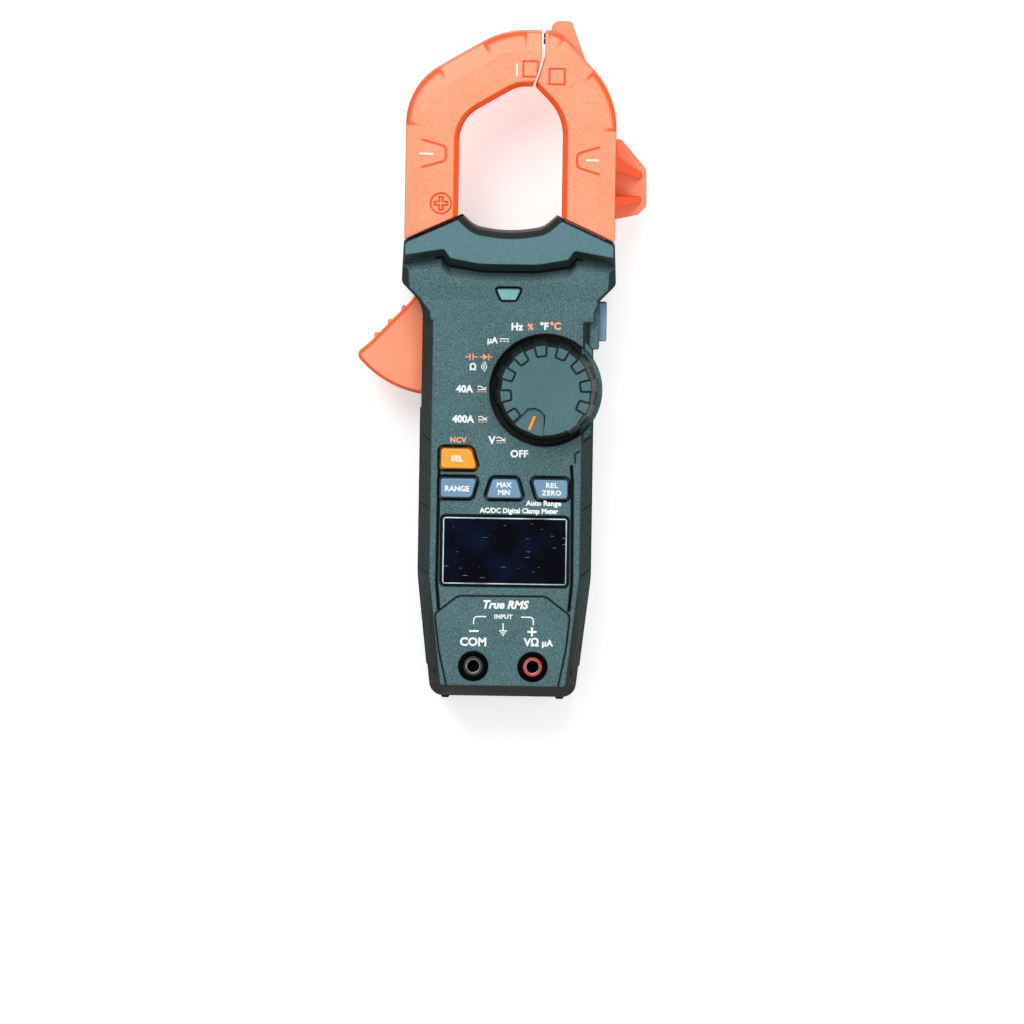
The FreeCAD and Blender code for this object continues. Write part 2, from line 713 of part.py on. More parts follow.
def make_fixed_jaw():
    """The right jaw: two shells with a tongue in the case, a side wing with gussets and a top tab."""
    outline = fixed_jaw_outline()
    core = fixed_core_outline()
    front = jaw_shell("fixed_jaw_front", outline, "jaw_split_z", "jaw_front_z - jaw_split_z - jaw_face_drop",
                      "jaw_split_z", "jaw_front_z - jaw_split_z - jaw_wall - 0.6")
    raise_jaw_face(front, outline, 3 * [D.outer_bevel] + 3 * [0] + 2 * [D.inner_bevel] + [0])
    pad(front, [tongue_outline()], "jaw_split_z", "tongue_front_z - jaw_split_z")
    pocket(front, [inset(core, -0.15)], "jaw_split_z - 1", "core_front_z - jaw_split_z + 1")
    core_posts(front, RIGHT_POSTS, "core_front_z", "jaw_front_z - core_front_z - jaw_wall")
    rear = jaw_shell("fixed_jaw_rear", outline, "jaw_back_z", "jaw_split_z - jaw_back_z",
                     "jaw_back_z + jaw_wall", 20)
    wing = [(32.5, 45.4), (41.0, 47.2, 3), (43.8, 50.0, 3), (43.6, 61.8, 4), (35.4, 71.3, 2), (32.5, 71.3)]
    tab = [(11.9, 102.0), (16.0, 99.0), (24.2, 94.5), (18.9, 109.0, 1.6), (12.8, 109.0, 2.4)]
    pad(rear, [wing], "jaw_back_z", 2.4)
    pad(rear, [tab], "jaw_back_z", 2.4)
    upper_rib = [(33.3, 61.7), (42.0, 58.4, 0.8), (42.3, 60.6, 0.8), (33.3, 66.0)]
    lower_rib = [(33.3, 49.4), (42.0, 51.0, 0.8), (42.0, 53.1, 0.8), (33.3, 53.3)]
    pad(rear, [upper_rib, lower_rib], "jaw_back_z + 1", "jaw_split_z - jaw_back_z - 2")
    side_cut(rear, [(33.85, 20.0), (42.3, 12.1), (46, 12.1), (46, 30), (33.85, 30)], 150, "XZ_Plane")
    pad(rear, [tongue_outline()], "tongue_back_z", "jaw_split_z - tongue_back_z")
    pocket(rear, [inset(core, -0.15)], "core_back_z", 20)
    core_posts(rear, RIGHT_POSTS, "jaw_back_z + jaw_wall - 0.3", "core_back_z - jaw_back_z - jaw_wall + 0.3")
    pocket(rear, [box_outline(11.5, 96.3, 12.9, 100.5)], 18.9, 5)
    pocket(front, [box_outline(11.5, 96.3, 12.9, 100.5)], "jaw_split_z - 1", 2.5)
    iron = body("fixed_core")
    pad(iron, [core], "core_back_z", "core_front_z - core_back_z")
    pocket(iron, [circle(x, y, 2.6) for x, y in JAW_SCREWS["fixed"]], "core_back_z - 1", 20)
    keep(block("hall_sensor", (11.6, 96.4, 19.0), (1.2, 4.0, 3.4)), "hall_sensor")
    return front, rear


def make_pivot():
    """The steel pin between the two case shells and the return spring above the hub."""
    keep(rod("pivot_pin", "pivot_x", "pivot_y", "head_back_z + 0.8", "pin_radius",
             "pin_top_z - head_back_z - 0.8"), "pivot_pin")
    wire_radius, coil_radius, pitch, turns = 0.45, 3.6, 1.1, 2.0
    helix = Part.makeHelix(pitch, pitch * turns, coil_radius)
    ring = Part.Wire(Part.makeCircle(wire_radius, Vector(coil_radius, 0, 0), Vector(0, 1, 0)))
    spring = doc.addObject("Part::Feature", "jaw_return_spring")
    spring.Shape = Part.Wire(helix.Edges).makePipeShell([ring], True, True)
    spring.Placement = Placement(Vector(D.pivot_x, D.pivot_y, D.hub_top_z + 0.65), Rotation())
    keep(spring, "jaw_return_spring")


# ---------------------------------------------------------------- selector dial
def place_dial(item):
    """Put a dial piece, modelled about its own axis with the pointer towards -Y, at its rest position."""
    bind(item, "Placement.Base.x", "dial_x")
    bind(item, "Placement.Base.y", "dial_y")
    item.Placement.Rotation = Rotation(Vector(0, 0, 1), -D.dial_step)


def make_dial():
    """The knob with its ring of raised pads, the pointer inlay, the rotor and its wiper fingers."""
    knob = body("dial_knob")
    profile = [
        (0, D.board_top_z + 1.3), (D.stem_radius, D.board_top_z + 1.3), (D.stem_radius, D.dial_base_z),
        (D.dial_base_radius, D.dial_base_z), (D.dial_base_radius, D.dial_base_z + 1.0),
        (D.dial_face_radius, D.dial_top_z - 0.4), (D.dial_face_radius - 0.4, D.dial_top_z), (0, D.dial_top_z),
    ]
    turned = knob.newObject("PartDesign::Revolution", "knob_turned")
    turned.Profile = sketch(knob, [profile], 0, "XZ_Plane")
    turned.ReferenceAxis = (turned.Profile[0], ["V_Axis"])
    turned.Angle = 360
    dish = [
        (-7.6, D.dial_top_z + 0.4), (-7.6, D.dial_top_z - 0.93), (-14.2, D.dial_top_z - 0.2),
        (-14.2, D.dial_top_z + 0.4),
    ]
    side_cut(knob, dish, 5.6)
    tooth = [
        (11.0, D.dial_base_z + 0.8), (D.dial_tooth_radius, D.dial_base_z + 0.8),
        (D.dial_face_radius + 0.3, D.dial_top_z - 0.4), (D.dial_face_radius, D.dial_top_z), (11.0, D.dial_top_z),
    ]
    pad_tooth = knob.newObject("PartDesign::Pad", "knob_tooth")
    pad_tooth.Profile = sketch(knob, [tooth], 0, "XZ_Plane")
    pad_tooth.Profile[0].AttachmentOffset = Placement(Vector(), Rotation(Vector(0, 1, 0), -30))
    pad_tooth.Midplane = True
    bind(pad_tooth, "Length", "tooth_width")
    ring = knob.newObject("PartDesign::PolarPattern", "knob_teeth")
    ring.Originals = [pad_tooth]
    ring.Axis = (turned.Profile[0], ["V_Axis"])
    ring.Angle = 240
    ring.Occurrences = 9
    knob.Tip = ring
    slot = box_outline(-0.5, -13.6, 0.5, -8.7, 0.4)
    pocket(knob, [slot], "dial_top_z - 2", 4)
    place_dial(knob)
    pointer = body("dial_pointer")
    pad(pointer, [slot], "dial_top_z - 2", 1.8)
    place_dial(pointer)
    rotor = body("dial_rotor")
    pad(rotor, [circle(0, 0, 12.5)], "board_top_z + 0.5", 0.8)
    place_dial(rotor)
    fingers = []
    for index in range(3):
        finger = block("wiper_%d" % index, (0, 0, 0), (4.5, 1.2, 0.4))
        turn = math.radians(120 * index)
        spot = Vector(D.dial_x + 7.0 * math.cos(turn), D.dial_y + 7.0 * math.sin(turn), D.board_top_z + 0.1)
        finger.setExpression("Placement.Base.x", None)
        finger.setExpression("Placement.Base.y", None)
        finger.setExpression("Placement.Base.z", None)
        finger.Placement = Placement(spot, Rotation(Vector(0, 0, 1), 120 * index))
        fingers.append(finger)
    keep(joined("Part::Compound", "dial_wipers", fingers), "dial_wipers")
    return knob


# ---------------------------------------------------------------- buttons
def make_buttons():
    """Front buttons with their retaining flanges, the side button and what they press on."""
    for label, outline in BUTTONS.items():
        button = body(label)
        pad(button, [outline], "button_flange_z", "button_top_z - button_flange_z")
        fillet(button, flat_at(D.button_top_z), 0.45)
        pad(button, [inset(outline, -0.9)], "button_flange_z", 1.4)
    side = body("side_button")
    pad(side, [box_outline(23.7, 6.8, 31.6, 19.4, 0.6)], 17.9, 6.8)
    fillet(side, lambda middle, edge: middle.x > 31.5, 0.5)
    pad(side, [box_outline(23.7, 5.9, 25.1, 20.3)], 17.2, 8.2)
    mat = body("keypad_mat")
    pad(mat, [box_outline(-22.0, -45.2, 21.5, -26.6, 1)], "board_top_z + 0.1", 0.6)
    domes = []
    for outline in BUTTONS.values():
        middle_x = sum(point[0] for point in outline) / len(outline)
        middle_y = sum(point[1] for point in outline) / len(outline)
        domes.append(circle(middle_x, middle_y, 2.2))
    pad(mat, domes, "board_top_z + 0.5", 1.1)
    case_of_switch = block("switch_case", (18.0, 10.9, "board_top_z"), (3.9, 4.2, 1.7))
    plunger = block("switch_plunger", (21.9, 12.2, "board_top_z + 0.3"), (0.6, 1.6, 1.0))
    keep(joined("Part::MultiFuse", "side_switch", [case_of_switch, plunger]), "side_switch")


# ---------------------------------------------------------------- display, board, jacks, cells
def make_display():
    """Window, holder frame, LCD glass, backlight and elastomer strips, stacked on the board."""
    recess = box_outline(-D.window_x + 0.1, D.display_low_y + 0.1, D.window_x - 0.1, D.display_high_y - 0.1, 0.9)
    window = body("display_window")
    pad(window, [recess], "panel_z - 1.3", 1.2)
    outside = box_outline(-20.6, -73.0, 20.6, -48.6, 0.5)
    holder = body("display_holder")
    pad(holder, [outside, inset(outside, 1.5)], "board_top_z", "panel_under_z - board_top_z - 0.1")
    glass = body("lcd_glass")
    pad(glass, [inset(outside, 1.7)], 25.9, 1.6)
    panel = body("backlight_panel")
    pad(panel, [inset(outside, 3.4)], 24.2, 1.5)
    strips = [
        block("strip_%s" % side, (-16.0, y, "board_top_z"), (32.0, 1.1, 2.3))
        for side, y in (("low", -71.2), ("high", -51.5))
    ]
    keep(joined("Part::Compound", "elastomer_strips", strips), "elastomer_strips")


def make_board():
    """The main circuit board with what is soldered to it, and the indicator under its lens."""
    board = body("main_board")
    plan = [
        (-21.0, -89.5, 1), (21.0, -89.5, 1), (22.0, -69.0), (22.0, 10.5, 1), (17.0, 16.0), (17.0, 26.5, 1),
        (-7.6, 26.5, 1), (-7.6, 10.5), (-22.0, 10.5, 1), (-22.0, -69.0),
    ]
    pad(board, [plan], "board_z", "board_top_z - board_z")
    pocket(board, [circle(*SCREWS[2], 3.3)], "board_z - 1", 5)
    keep(rod("buzzer", 11.0, -22.0, "board_z - 3.6", 6.0, 3.6), "buzzer")
    keep(block("measuring_chip", (-14.0, -66.0, "board_z - 1.6"), (12.0, 12.0, 1.6)), "measuring_chip")
    keep(block("indicator_led", (-1.0, 20.8, "board_top_z"), (2.0, 1.6, 1.2)), "indicator_led")
    lens = body("indicator_lens")
    pad(lens, [LENS], 26.6, 3.7)


def make_jacks():
    """The jack block, two shrouding sleeves and the metal contact tubes inside them."""
    jacks = body("jack_block")
    centres = [(side * D.jack_pitch / 2, D.jack_y) for side in (-1, 1)]
    pad(jacks, [box_outline(-15.8, -104.3, 15.8, -91.6, 1)], "jack_bottom_z", "panel_under_z - jack_bottom_z")
    pocket(jacks, [box_outline(-20, -94.6, 20, -90)], "jack_bottom_z - 1", "parting_z - jack_bottom_z + 0.8")
    pocket(jacks, [circle(x, y, "jack_well_radius") for x, y in centres], "parting_z + 0.8", 20)
    pocket(jacks, [circle(x, y, "jack_sleeve_radius") for x, y in centres], 0, 30)
    for label, (x, y) in zip(("com_jack", "volt_jack"), centres):
        sleeve = body(label + "_sleeve")
        loops = [circle(x, y, "jack_sleeve_radius"), circle(x, y, "jack_tube_radius")]
        pad(sleeve, loops, "jack_bottom_z", "panel_z - jack_bottom_z - 0.6")
        contact = body(label + "_contact")
        loops = [circle(x, y, "jack_tube_radius"), circle(x, y, "jack_bore_radius")]
        pad(contact, loops, "jack_bottom_z", 19.4)


def make_cells():
    """Three AAA cells, the leaf springs and plates that touch their ends."""
    springs, plates = [], []
    for index, label in enumerate(("cell_left", "cell_middle", "cell_right")):
        x = (index - 1) * D.cell_pitch
        can = doc.addObject("Part::Cylinder", label + "_can")
        bind(can, "Radius", "cell_radius")
        bind(can, "Height", "cell_length - 1")
        cap = doc.addObject("Part::Cylinder", label + "_cap")
        cap.Radius = 1.9
        cap.Height = 1.0
        start = 1 if index % 2 else -1
        base_y = D.cell_low_y if start < 0 else D.cell_low_y + D.cell_length
        turn = Rotation(Vector(1, 0, 0), 90 * start)
        can.Placement = Placement(Vector(x, base_y, D.cell_z), turn)
        cap.Placement = Placement(Vector(x, base_y - start * (D.cell_length - 1), D.cell_z), turn)
        keep(joined("Part::MultiFuse", label, [can, cap]), label)
        low_y, high_y = D.cell_low_y, D.cell_low_y + D.cell_length
        plates.append(block("plate_low_%d" % index, (x - 4, -92.5, 3.4), (8, 0.5, 9)))
        plates.append(block("plate_high_%d" % index, (x - 4, -43.0, 3.4), (8, 0.5, 9)))
        spring_y, spring_depth = (-92.0, low_y + 92.0) if start < 0 else (high_y, -43.0 - high_y)
        springs.append(block("leaf_%d" % index, (x - 2, spring_y, 6.0), (4, spring_depth, 3.6)))
    keep(joined("Part::Compound", "cell_plates", plates), "cell_plates")
    keep(joined("Part::Compound", "cell_springs", springs), "cell_springs")
    door = body("battery_door")
    pad(door, [inset(DOOR_PLAN, 0.15)], 0, 1.95)
    pocket(door, [circle(*DOOR_SCREW, "screw_head_radius + 0.15")], -1, 2.4)
    pocket(door, [circle(*DOOR_SCREW, 1.25)], -1, 5)
    for step in range(5):
        groove = box_outline(-9.0, -88.0 + 2.2 * step, 9.0, -87.0 + 2.2 * step, 0.49)
        pocket(door, [groove], -0.5, 1.0)


# ---------------------------------------------------------------- screws
def screw(label, x, y, level, length):
    """A pan-head screw driven from the back, with a cross recess in its head."""
    head = rod(label + "_head", x, y, level - 1.9, D.screw_head_radius, 1.9)
    shank = rod(label + "_shank", x, y, level - 0.5, D.screw_radius, length + 0.5)
    whole = joined("Part::MultiFuse", label + "_whole", [head, shank])
    slots = [
        block(label + "_slot_x", (x - 1.5, y - 0.3, level - 2.5), (3.0, 0.6, 1.6)),
        block(label + "_slot_y", (x - 0.3, y - 1.5, level - 2.5), (0.6, 3.0, 1.6)),
    ]
    return cut(label, whole, joined("Part::MultiFuse", label + "_cross", slots))


def make_screws():
    """Case screws, the battery door's screw and the screws that hold each jaw's halves together."""
    case_screws = [
        screw("case_screw_%d" % index, x, y, D.screw_seat_z, 15.5) for index, (x, y) in enumerate(SCREWS)
    ]
    keep(joined("Part::Compound", "case_screws", case_screws), "case_screws")
    head = rod("door_screw_head", *DOOR_SCREW, 0.3, "screw_head_radius", 1.1)
    shank = rod("door_screw_shank", *DOOR_SCREW, 1.0, 1.2, 9.0)
    whole = joined("Part::MultiFuse", "door_screw_whole", [head, shank])
    slot = block("door_screw_slot", (DOOR_SCREW[0] - 1.6, DOOR_SCREW[1] - 0.35, -0.5), (3.2, 0.7, 1.4))
    keep(cut("battery_door_screw", whole, slot), "battery_door_screw")


def make_jaw_screws(kind, front, rear):
    """Two screws from the back of a jaw, in bosses that both shells carry."""
    screws = []
    for index, (x, y) in enumerate(JAW_SCREWS[kind]):
        pad(rear, [circle(x, y, 2.3)], "jaw_back_z + jaw_wall - 0.5",
            "jaw_split_z - jaw_back_z - jaw_wall + 0.5")
        pocket(rear, [circle(x, y, 1.8)], 0, "jaw_back_z + 2")
        pocket(rear, [circle(x, y, 0.9)], 0, 30)
        pad(front, [circle(x, y, 2.0)], "jaw_split_z", "jaw_front_z - jaw_split_z - jaw_wall")
        pocket(front, [circle(x, y, 0.9)], "jaw_split_z - 1", 7)
        head = rod("%s_head_%d" % (kind, index), x, y, "jaw_back_z + 0.7", 1.7, 1.3)
        shank = rod("%s_shank_%d" % (kind, index), x, y, "jaw_back_z + 1.8", 0.9, 14)
        whole = joined("Part::MultiFuse", "%s_screw_%d" % (kind, index), [head, shank])
        slot = block("%s_slot_%d" % (kind, index), (x - 1.1, y - 0.25, "jaw_back_z"), (2.2, 0.5, 1.4))
        screws.append(cut("%s_jaw_screw_%d" % (kind, index), whole, slot))
    keep(joined("Part::Compound", kind + "_jaw_screws", screws), kind + "_jaw_screws")


# ---------------------------------------------------------------- build, check, write
front_case = make_front_case()
rear_case = make_rear_case()
make_grips(front_case, rear_case)
moving_front, moving_rear = make_moving_jaw()
make_trigger()
fixed_front, fixed_rear = make_fixed_jaw()
make_jaw_screws("moving", moving_front, moving_rear)
make_jaw_screws("fixed", fixed_front, fixed_rear)
make_pivot()
make_dial()
make_buttons()
make_display()
make_board()
make_jacks()
make_cells()
make_screws()
doc.recompute()

faults = [item.Label for item in doc.Objects if "Invalid" in item.State or "Error" in item.State]
for item in NODES:
    if item.Shape.isNull() or not item.Shape.isValid() or not item.Shape.Solids:
        faults.append(item.Label)
if faults:
    raise RuntimeError("faulty: " + ", ".join(sorted(set(faults))))

os.makedirs("parts", exist_ok=True)
for item in NODES:
    item.Shape.exportStep("parts/%s.step" % item.Label)
    print("%-22s %3d solids %9.1f mm3" % (item.Label, len(item.Shape.Solids), item.Shape.Volume))
print(len(NODES), "nodes")
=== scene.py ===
"""Clamp meter: finishes, engraved and printed detail, and the studio round it.

Everything is in metres in the frame of the CAD model: X to the right seen from the
front, Y towards the jaws, Z out of the front face. The small helpers take millimetres.
"""

import json
import logging
import math
from dataclasses import dataclass, field
from enum import Enum

import bmesh
import bpy
from mathutils import Matrix, Vector
from mathutils.geometry import convex_hull_2d


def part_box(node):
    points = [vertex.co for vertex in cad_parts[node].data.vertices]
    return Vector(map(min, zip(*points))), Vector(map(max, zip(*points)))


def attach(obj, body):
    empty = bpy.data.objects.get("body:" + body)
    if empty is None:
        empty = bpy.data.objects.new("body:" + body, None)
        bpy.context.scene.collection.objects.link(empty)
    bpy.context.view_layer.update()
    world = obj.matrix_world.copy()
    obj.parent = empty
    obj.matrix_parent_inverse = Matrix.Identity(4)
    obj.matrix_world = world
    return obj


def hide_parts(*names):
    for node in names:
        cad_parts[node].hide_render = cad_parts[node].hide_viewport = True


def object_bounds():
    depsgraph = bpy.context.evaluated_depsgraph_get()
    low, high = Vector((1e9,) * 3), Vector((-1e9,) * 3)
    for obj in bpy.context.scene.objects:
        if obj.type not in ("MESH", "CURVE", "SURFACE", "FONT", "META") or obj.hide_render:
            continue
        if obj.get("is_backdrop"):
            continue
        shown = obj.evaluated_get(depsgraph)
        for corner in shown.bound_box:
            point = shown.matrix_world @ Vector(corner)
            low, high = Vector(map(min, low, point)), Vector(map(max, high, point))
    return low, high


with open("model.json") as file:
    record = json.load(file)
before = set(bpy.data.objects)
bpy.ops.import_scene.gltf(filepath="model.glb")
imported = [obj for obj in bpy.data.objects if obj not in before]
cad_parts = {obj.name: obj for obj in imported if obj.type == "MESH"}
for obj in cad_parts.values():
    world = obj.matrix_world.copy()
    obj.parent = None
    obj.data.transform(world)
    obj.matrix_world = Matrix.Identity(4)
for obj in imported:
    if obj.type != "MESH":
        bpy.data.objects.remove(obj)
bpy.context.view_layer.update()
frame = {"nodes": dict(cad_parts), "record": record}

LOG = logging.getLogger("clamp_meter")
MM = 0.001
Point = tuple[float, float]


class Body(Enum):
    """Rigid bodies of the meter that extra pieces ride on."""

    CASE = "case"
    MOVING_JAW = "moving_jaw"
    DIAL = "dial"
    SEL = "sel_key"
    RANGE = "range_key"
    MAX_MIN = "max_min_key"
    ZERO = "zero_key"


# ---------------------------------------------------------------- colour and nodes
def linear(hex_code: str) -> tuple[float, float, float, float]:
    """Turn an sRGB hex colour into linear RGBA.

    Args:
        hex_code: Colour such as "#4E6C6A".

    Returns:
        Linear red, green, blue and an alpha of one.
    """
    channels = [int(hex_code[place:place + 2], 16) / 255 for place in (1, 3, 5)]
    flat = [c / 12.92 if c <= 0.04045 else ((c + 0.055) / 1.055) ** 2.4 for c in channels]
    return flat[0], flat[1], flat[2], 1.0


def add_node(tree: bpy.types.NodeTree, kind: str, inputs: dict | None = None, **settings) -> bpy.types.Node:
    """Add one node with its settings, values and links.

    Args:
        tree: Node tree that takes the node.
        kind: Blender's identifier of the node.
        inputs: Socket name or number to a value, or to the output socket to link.
        **settings: Attributes of the node itself.

    Returns:
        The new node.
    """
    made = tree.nodes.new(kind)
    for name, value in settings.items():
        setattr(made, name, value)
    for key, value in (inputs or {}).items():
        if isinstance(value, bpy.types.NodeSocket):
            tree.links.new(value, made.inputs[key])
        else:
            made.inputs[key].default_value = value
    return made


@dataclass(frozen=True)
class Finish:
    """What every finish shares: a name, base colours, gloss and a fine surface grain.

    Attributes:
        name: The real material and how it was made.
        base: Main colour.
        shade: Darker colour it drifts to over a few centimetres.
        fleck: Light colour of the fine grain.
        edge: Colour painted on rounded edges, as painted shade where it is darker than the base and painted
            highlight where it is lighter; on the board, its tan laminate.
        grain_mm: Size of the grain.
        grain_depth_mm: Height of the grain.
        roughness: Mean roughness.
        ior: Index of refraction of a non-metal.
        metallic: One for metals.
        coat: Weight of a clear, smooth top layer.
        edge_mm: Radius that sharp edges are eased to.
        fleck_share: Contrast of the grain, from 0 to 1.
        painted_wall_shade: Colour of the painted shade on walls that stand up from the face, or nothing for
            none.
        gloss: Strength of the reflection at the surface; 0.5 is that of a clean surface.
    """

    name: str
    base: str
    shade: str
    fleck: str
    edge: str
    grain_mm: float = 0.5
    grain_depth_mm: float = 0.02
    roughness: float = 0.5
    ior: float = 1.5
    metallic: float = 0.0
    coat: float = 0.0
    edge_mm: float = 0.25
    fleck_share: float = 0.3
    painted_wall_shade: str = ""
    gloss: float = 0.5

    def start(self) -> tuple[bpy.types.Material, bpy.types.NodeTree, bpy.types.Node, bpy.types.NodeSocket]:
        """Make the empty material with its shader.

        Returns:
            Material, node tree, shader node and the socket of the place on the object in metres.
        """
        material = bpy.data.materials.new(self.name)
        material.use_nodes = True
        tree = material.node_tree
        tree.nodes.clear()
        shader = add_node(tree, "ShaderNodeBsdfPrincipled")
        shader.inputs["Metallic"].default_value = self.metallic
        if self.metallic < 0.5:
            shader.inputs["IOR"].default_value = self.ior
        shader.inputs["Coat Weight"].default_value = self.coat
        shader.inputs["Specular IOR Level"].default_value = self.gloss
        add_node(tree, "ShaderNodeOutputMaterial", {"Surface": shader.outputs[0]})
        place = add_node(tree, "ShaderNodeTexCoord").outputs["Object"]
        material.diffuse_color = linear(self.base)
        return material, tree, shader, place

    def mottled(self, tree: bpy.types.NodeTree, place: bpy.types.NodeSocket) -> tuple:
        """Base colour with slow drift and fine flecks.

        Args:
            tree: Node tree of the material.
            place: Place on the object in metres.

        Returns:
            Colour socket and the grain's value socket.
        """
        drift = add_node(tree, "ShaderNodeTexNoise", {"Vector": place, "Scale": 1 / (14 * MM), "Detail": 3.0})
        grain = add_node(tree, "ShaderNodeTexNoise",
                         {"Vector": place, "Scale": 1 / (self.grain_mm * MM), "Detail": 2.0,
                          "Roughness": 0.7})
        slow = add_node(tree, "ShaderNodeMapRange", {0: drift.outputs[0], 1: 0.35, 2: 0.65})
        fine = add_node(tree, "ShaderNodeMapRange", {0: grain.outputs[0], 1: 0.36, 2: 0.66})
        ground = add_node(tree, "ShaderNodeMix",
                          {0: slow.outputs[0], 6: linear(self.base), 7: linear(self.shade)}, data_type="RGBA")
        specks = add_node(tree, "ShaderNodeMix",
                          {0: fine.outputs[0], 6: linear(self.shade), 7: linear(self.fleck)},
                          data_type="RGBA")
        colour = add_node(tree, "ShaderNodeMix",
                          {0: self.fleck_share, 6: ground.outputs[2], 7: specks.outputs[2]}, data_type="RGBA")
        return colour.outputs[2], grain.outputs[0]

    def eased(self, tree: bpy.types.NodeTree, colour: bpy.types.NodeSocket) -> tuple:
        """Ease sharp edges in the light, paint walls with painted shade and rounded edges with the edge
        colour as painted shade and highlight.

        Args:
            tree: Node tree of the material.
            colour: Colour away from the edges.

        Returns:
            Colour socket and the normal socket of the eased edge.
        """
        soft = add_node(tree, "ShaderNodeBevel", {"Radius": self.edge_mm * MM}, samples=6)
        flat = add_node(tree, "ShaderNodeNewGeometry")
        same = add_node(tree, "ShaderNodeVectorMath", {0: soft.outputs[0], 1: flat.outputs["Normal"]},
                        operation="DOT_PRODUCT")
        # Painted shade: walls that turn away from facing up are mixed towards the wall colour.
        if self.painted_wall_shade:
            lean = add_node(tree, "ShaderNodeSeparateXYZ", {0: soft.outputs[0]})
            upright = add_node(tree, "ShaderNodeMath", {0: lean.outputs[2]}, operation="ABSOLUTE")
            wall = add_node(tree, "ShaderNodeMapRange", {0: upright.outputs[0], 1: 0.975, 2: 0.82})
            colour = add_node(tree, "ShaderNodeMix", {0: wall.outputs[0], 6: colour, 7: linear(self.painted_wall_shade)},
                              data_type="RGBA").outputs[2]
        # Painted shade and highlight: rounded edges, where the eased normal leaves the face's own, are mixed
        # towards the edge colour.
        share = add_node(tree, "ShaderNodeMapRange",
                         {0: same.outputs["Value"], 1: 0.97, 2: 0.75, 3: 0.0, 4: 0.85})
        mixed = add_node(tree, "ShaderNodeMix", {0: share.outputs[0], 6: colour, 7: linear(self.edge)},
                         data_type="RGBA")
        return mixed.outputs[2], soft.outputs[0]

    def close(self, tree: bpy.types.NodeTree, shader: bpy.types.Node, colour: bpy.types.NodeSocket,
              relief: bpy.types.NodeSocket, normal: bpy.types.NodeSocket, spread: float = 0.12) -> None:
        """Link colour, roughness and relief to the shader.

        Args:
            tree: Node tree of the material.
            shader: Principled shader.
            colour: Final colour.
            relief: Height pattern from 0 to 1.
            normal: Normal that the relief starts from.
            spread: How far the roughness varies with the relief.
        """
        rough = add_node(tree, "ShaderNodeMapRange",
                         {0: relief, 1: 0.3, 2: 0.7, 3: self.roughness - spread / 2,
                          4: self.roughness + spread / 2})
        bump = add_node(tree, "ShaderNodeBump",
                        {"Height": relief, "Distance": self.grain_depth_mm * MM, "Strength": 1.0,
                         "Normal": normal})
        tree.links.new(colour, shader.inputs["Base Color"])
        tree.links.new(rough.outputs[0], shader.inputs["Roughness"])
        tree.links.new(bump.outputs[0], shader.inputs["Normal"])

    def build(self) -> bpy.types.Material:
        """Make the Blender material of a plain moulded, pressed or turned surface."""
        material, tree, shader, place = self.start()
        colour, grain = self.mottled(tree, place)
        colour, normal = self.eased(tree, colour)
        self.close(tree, shader, colour, grain, normal)
        return material


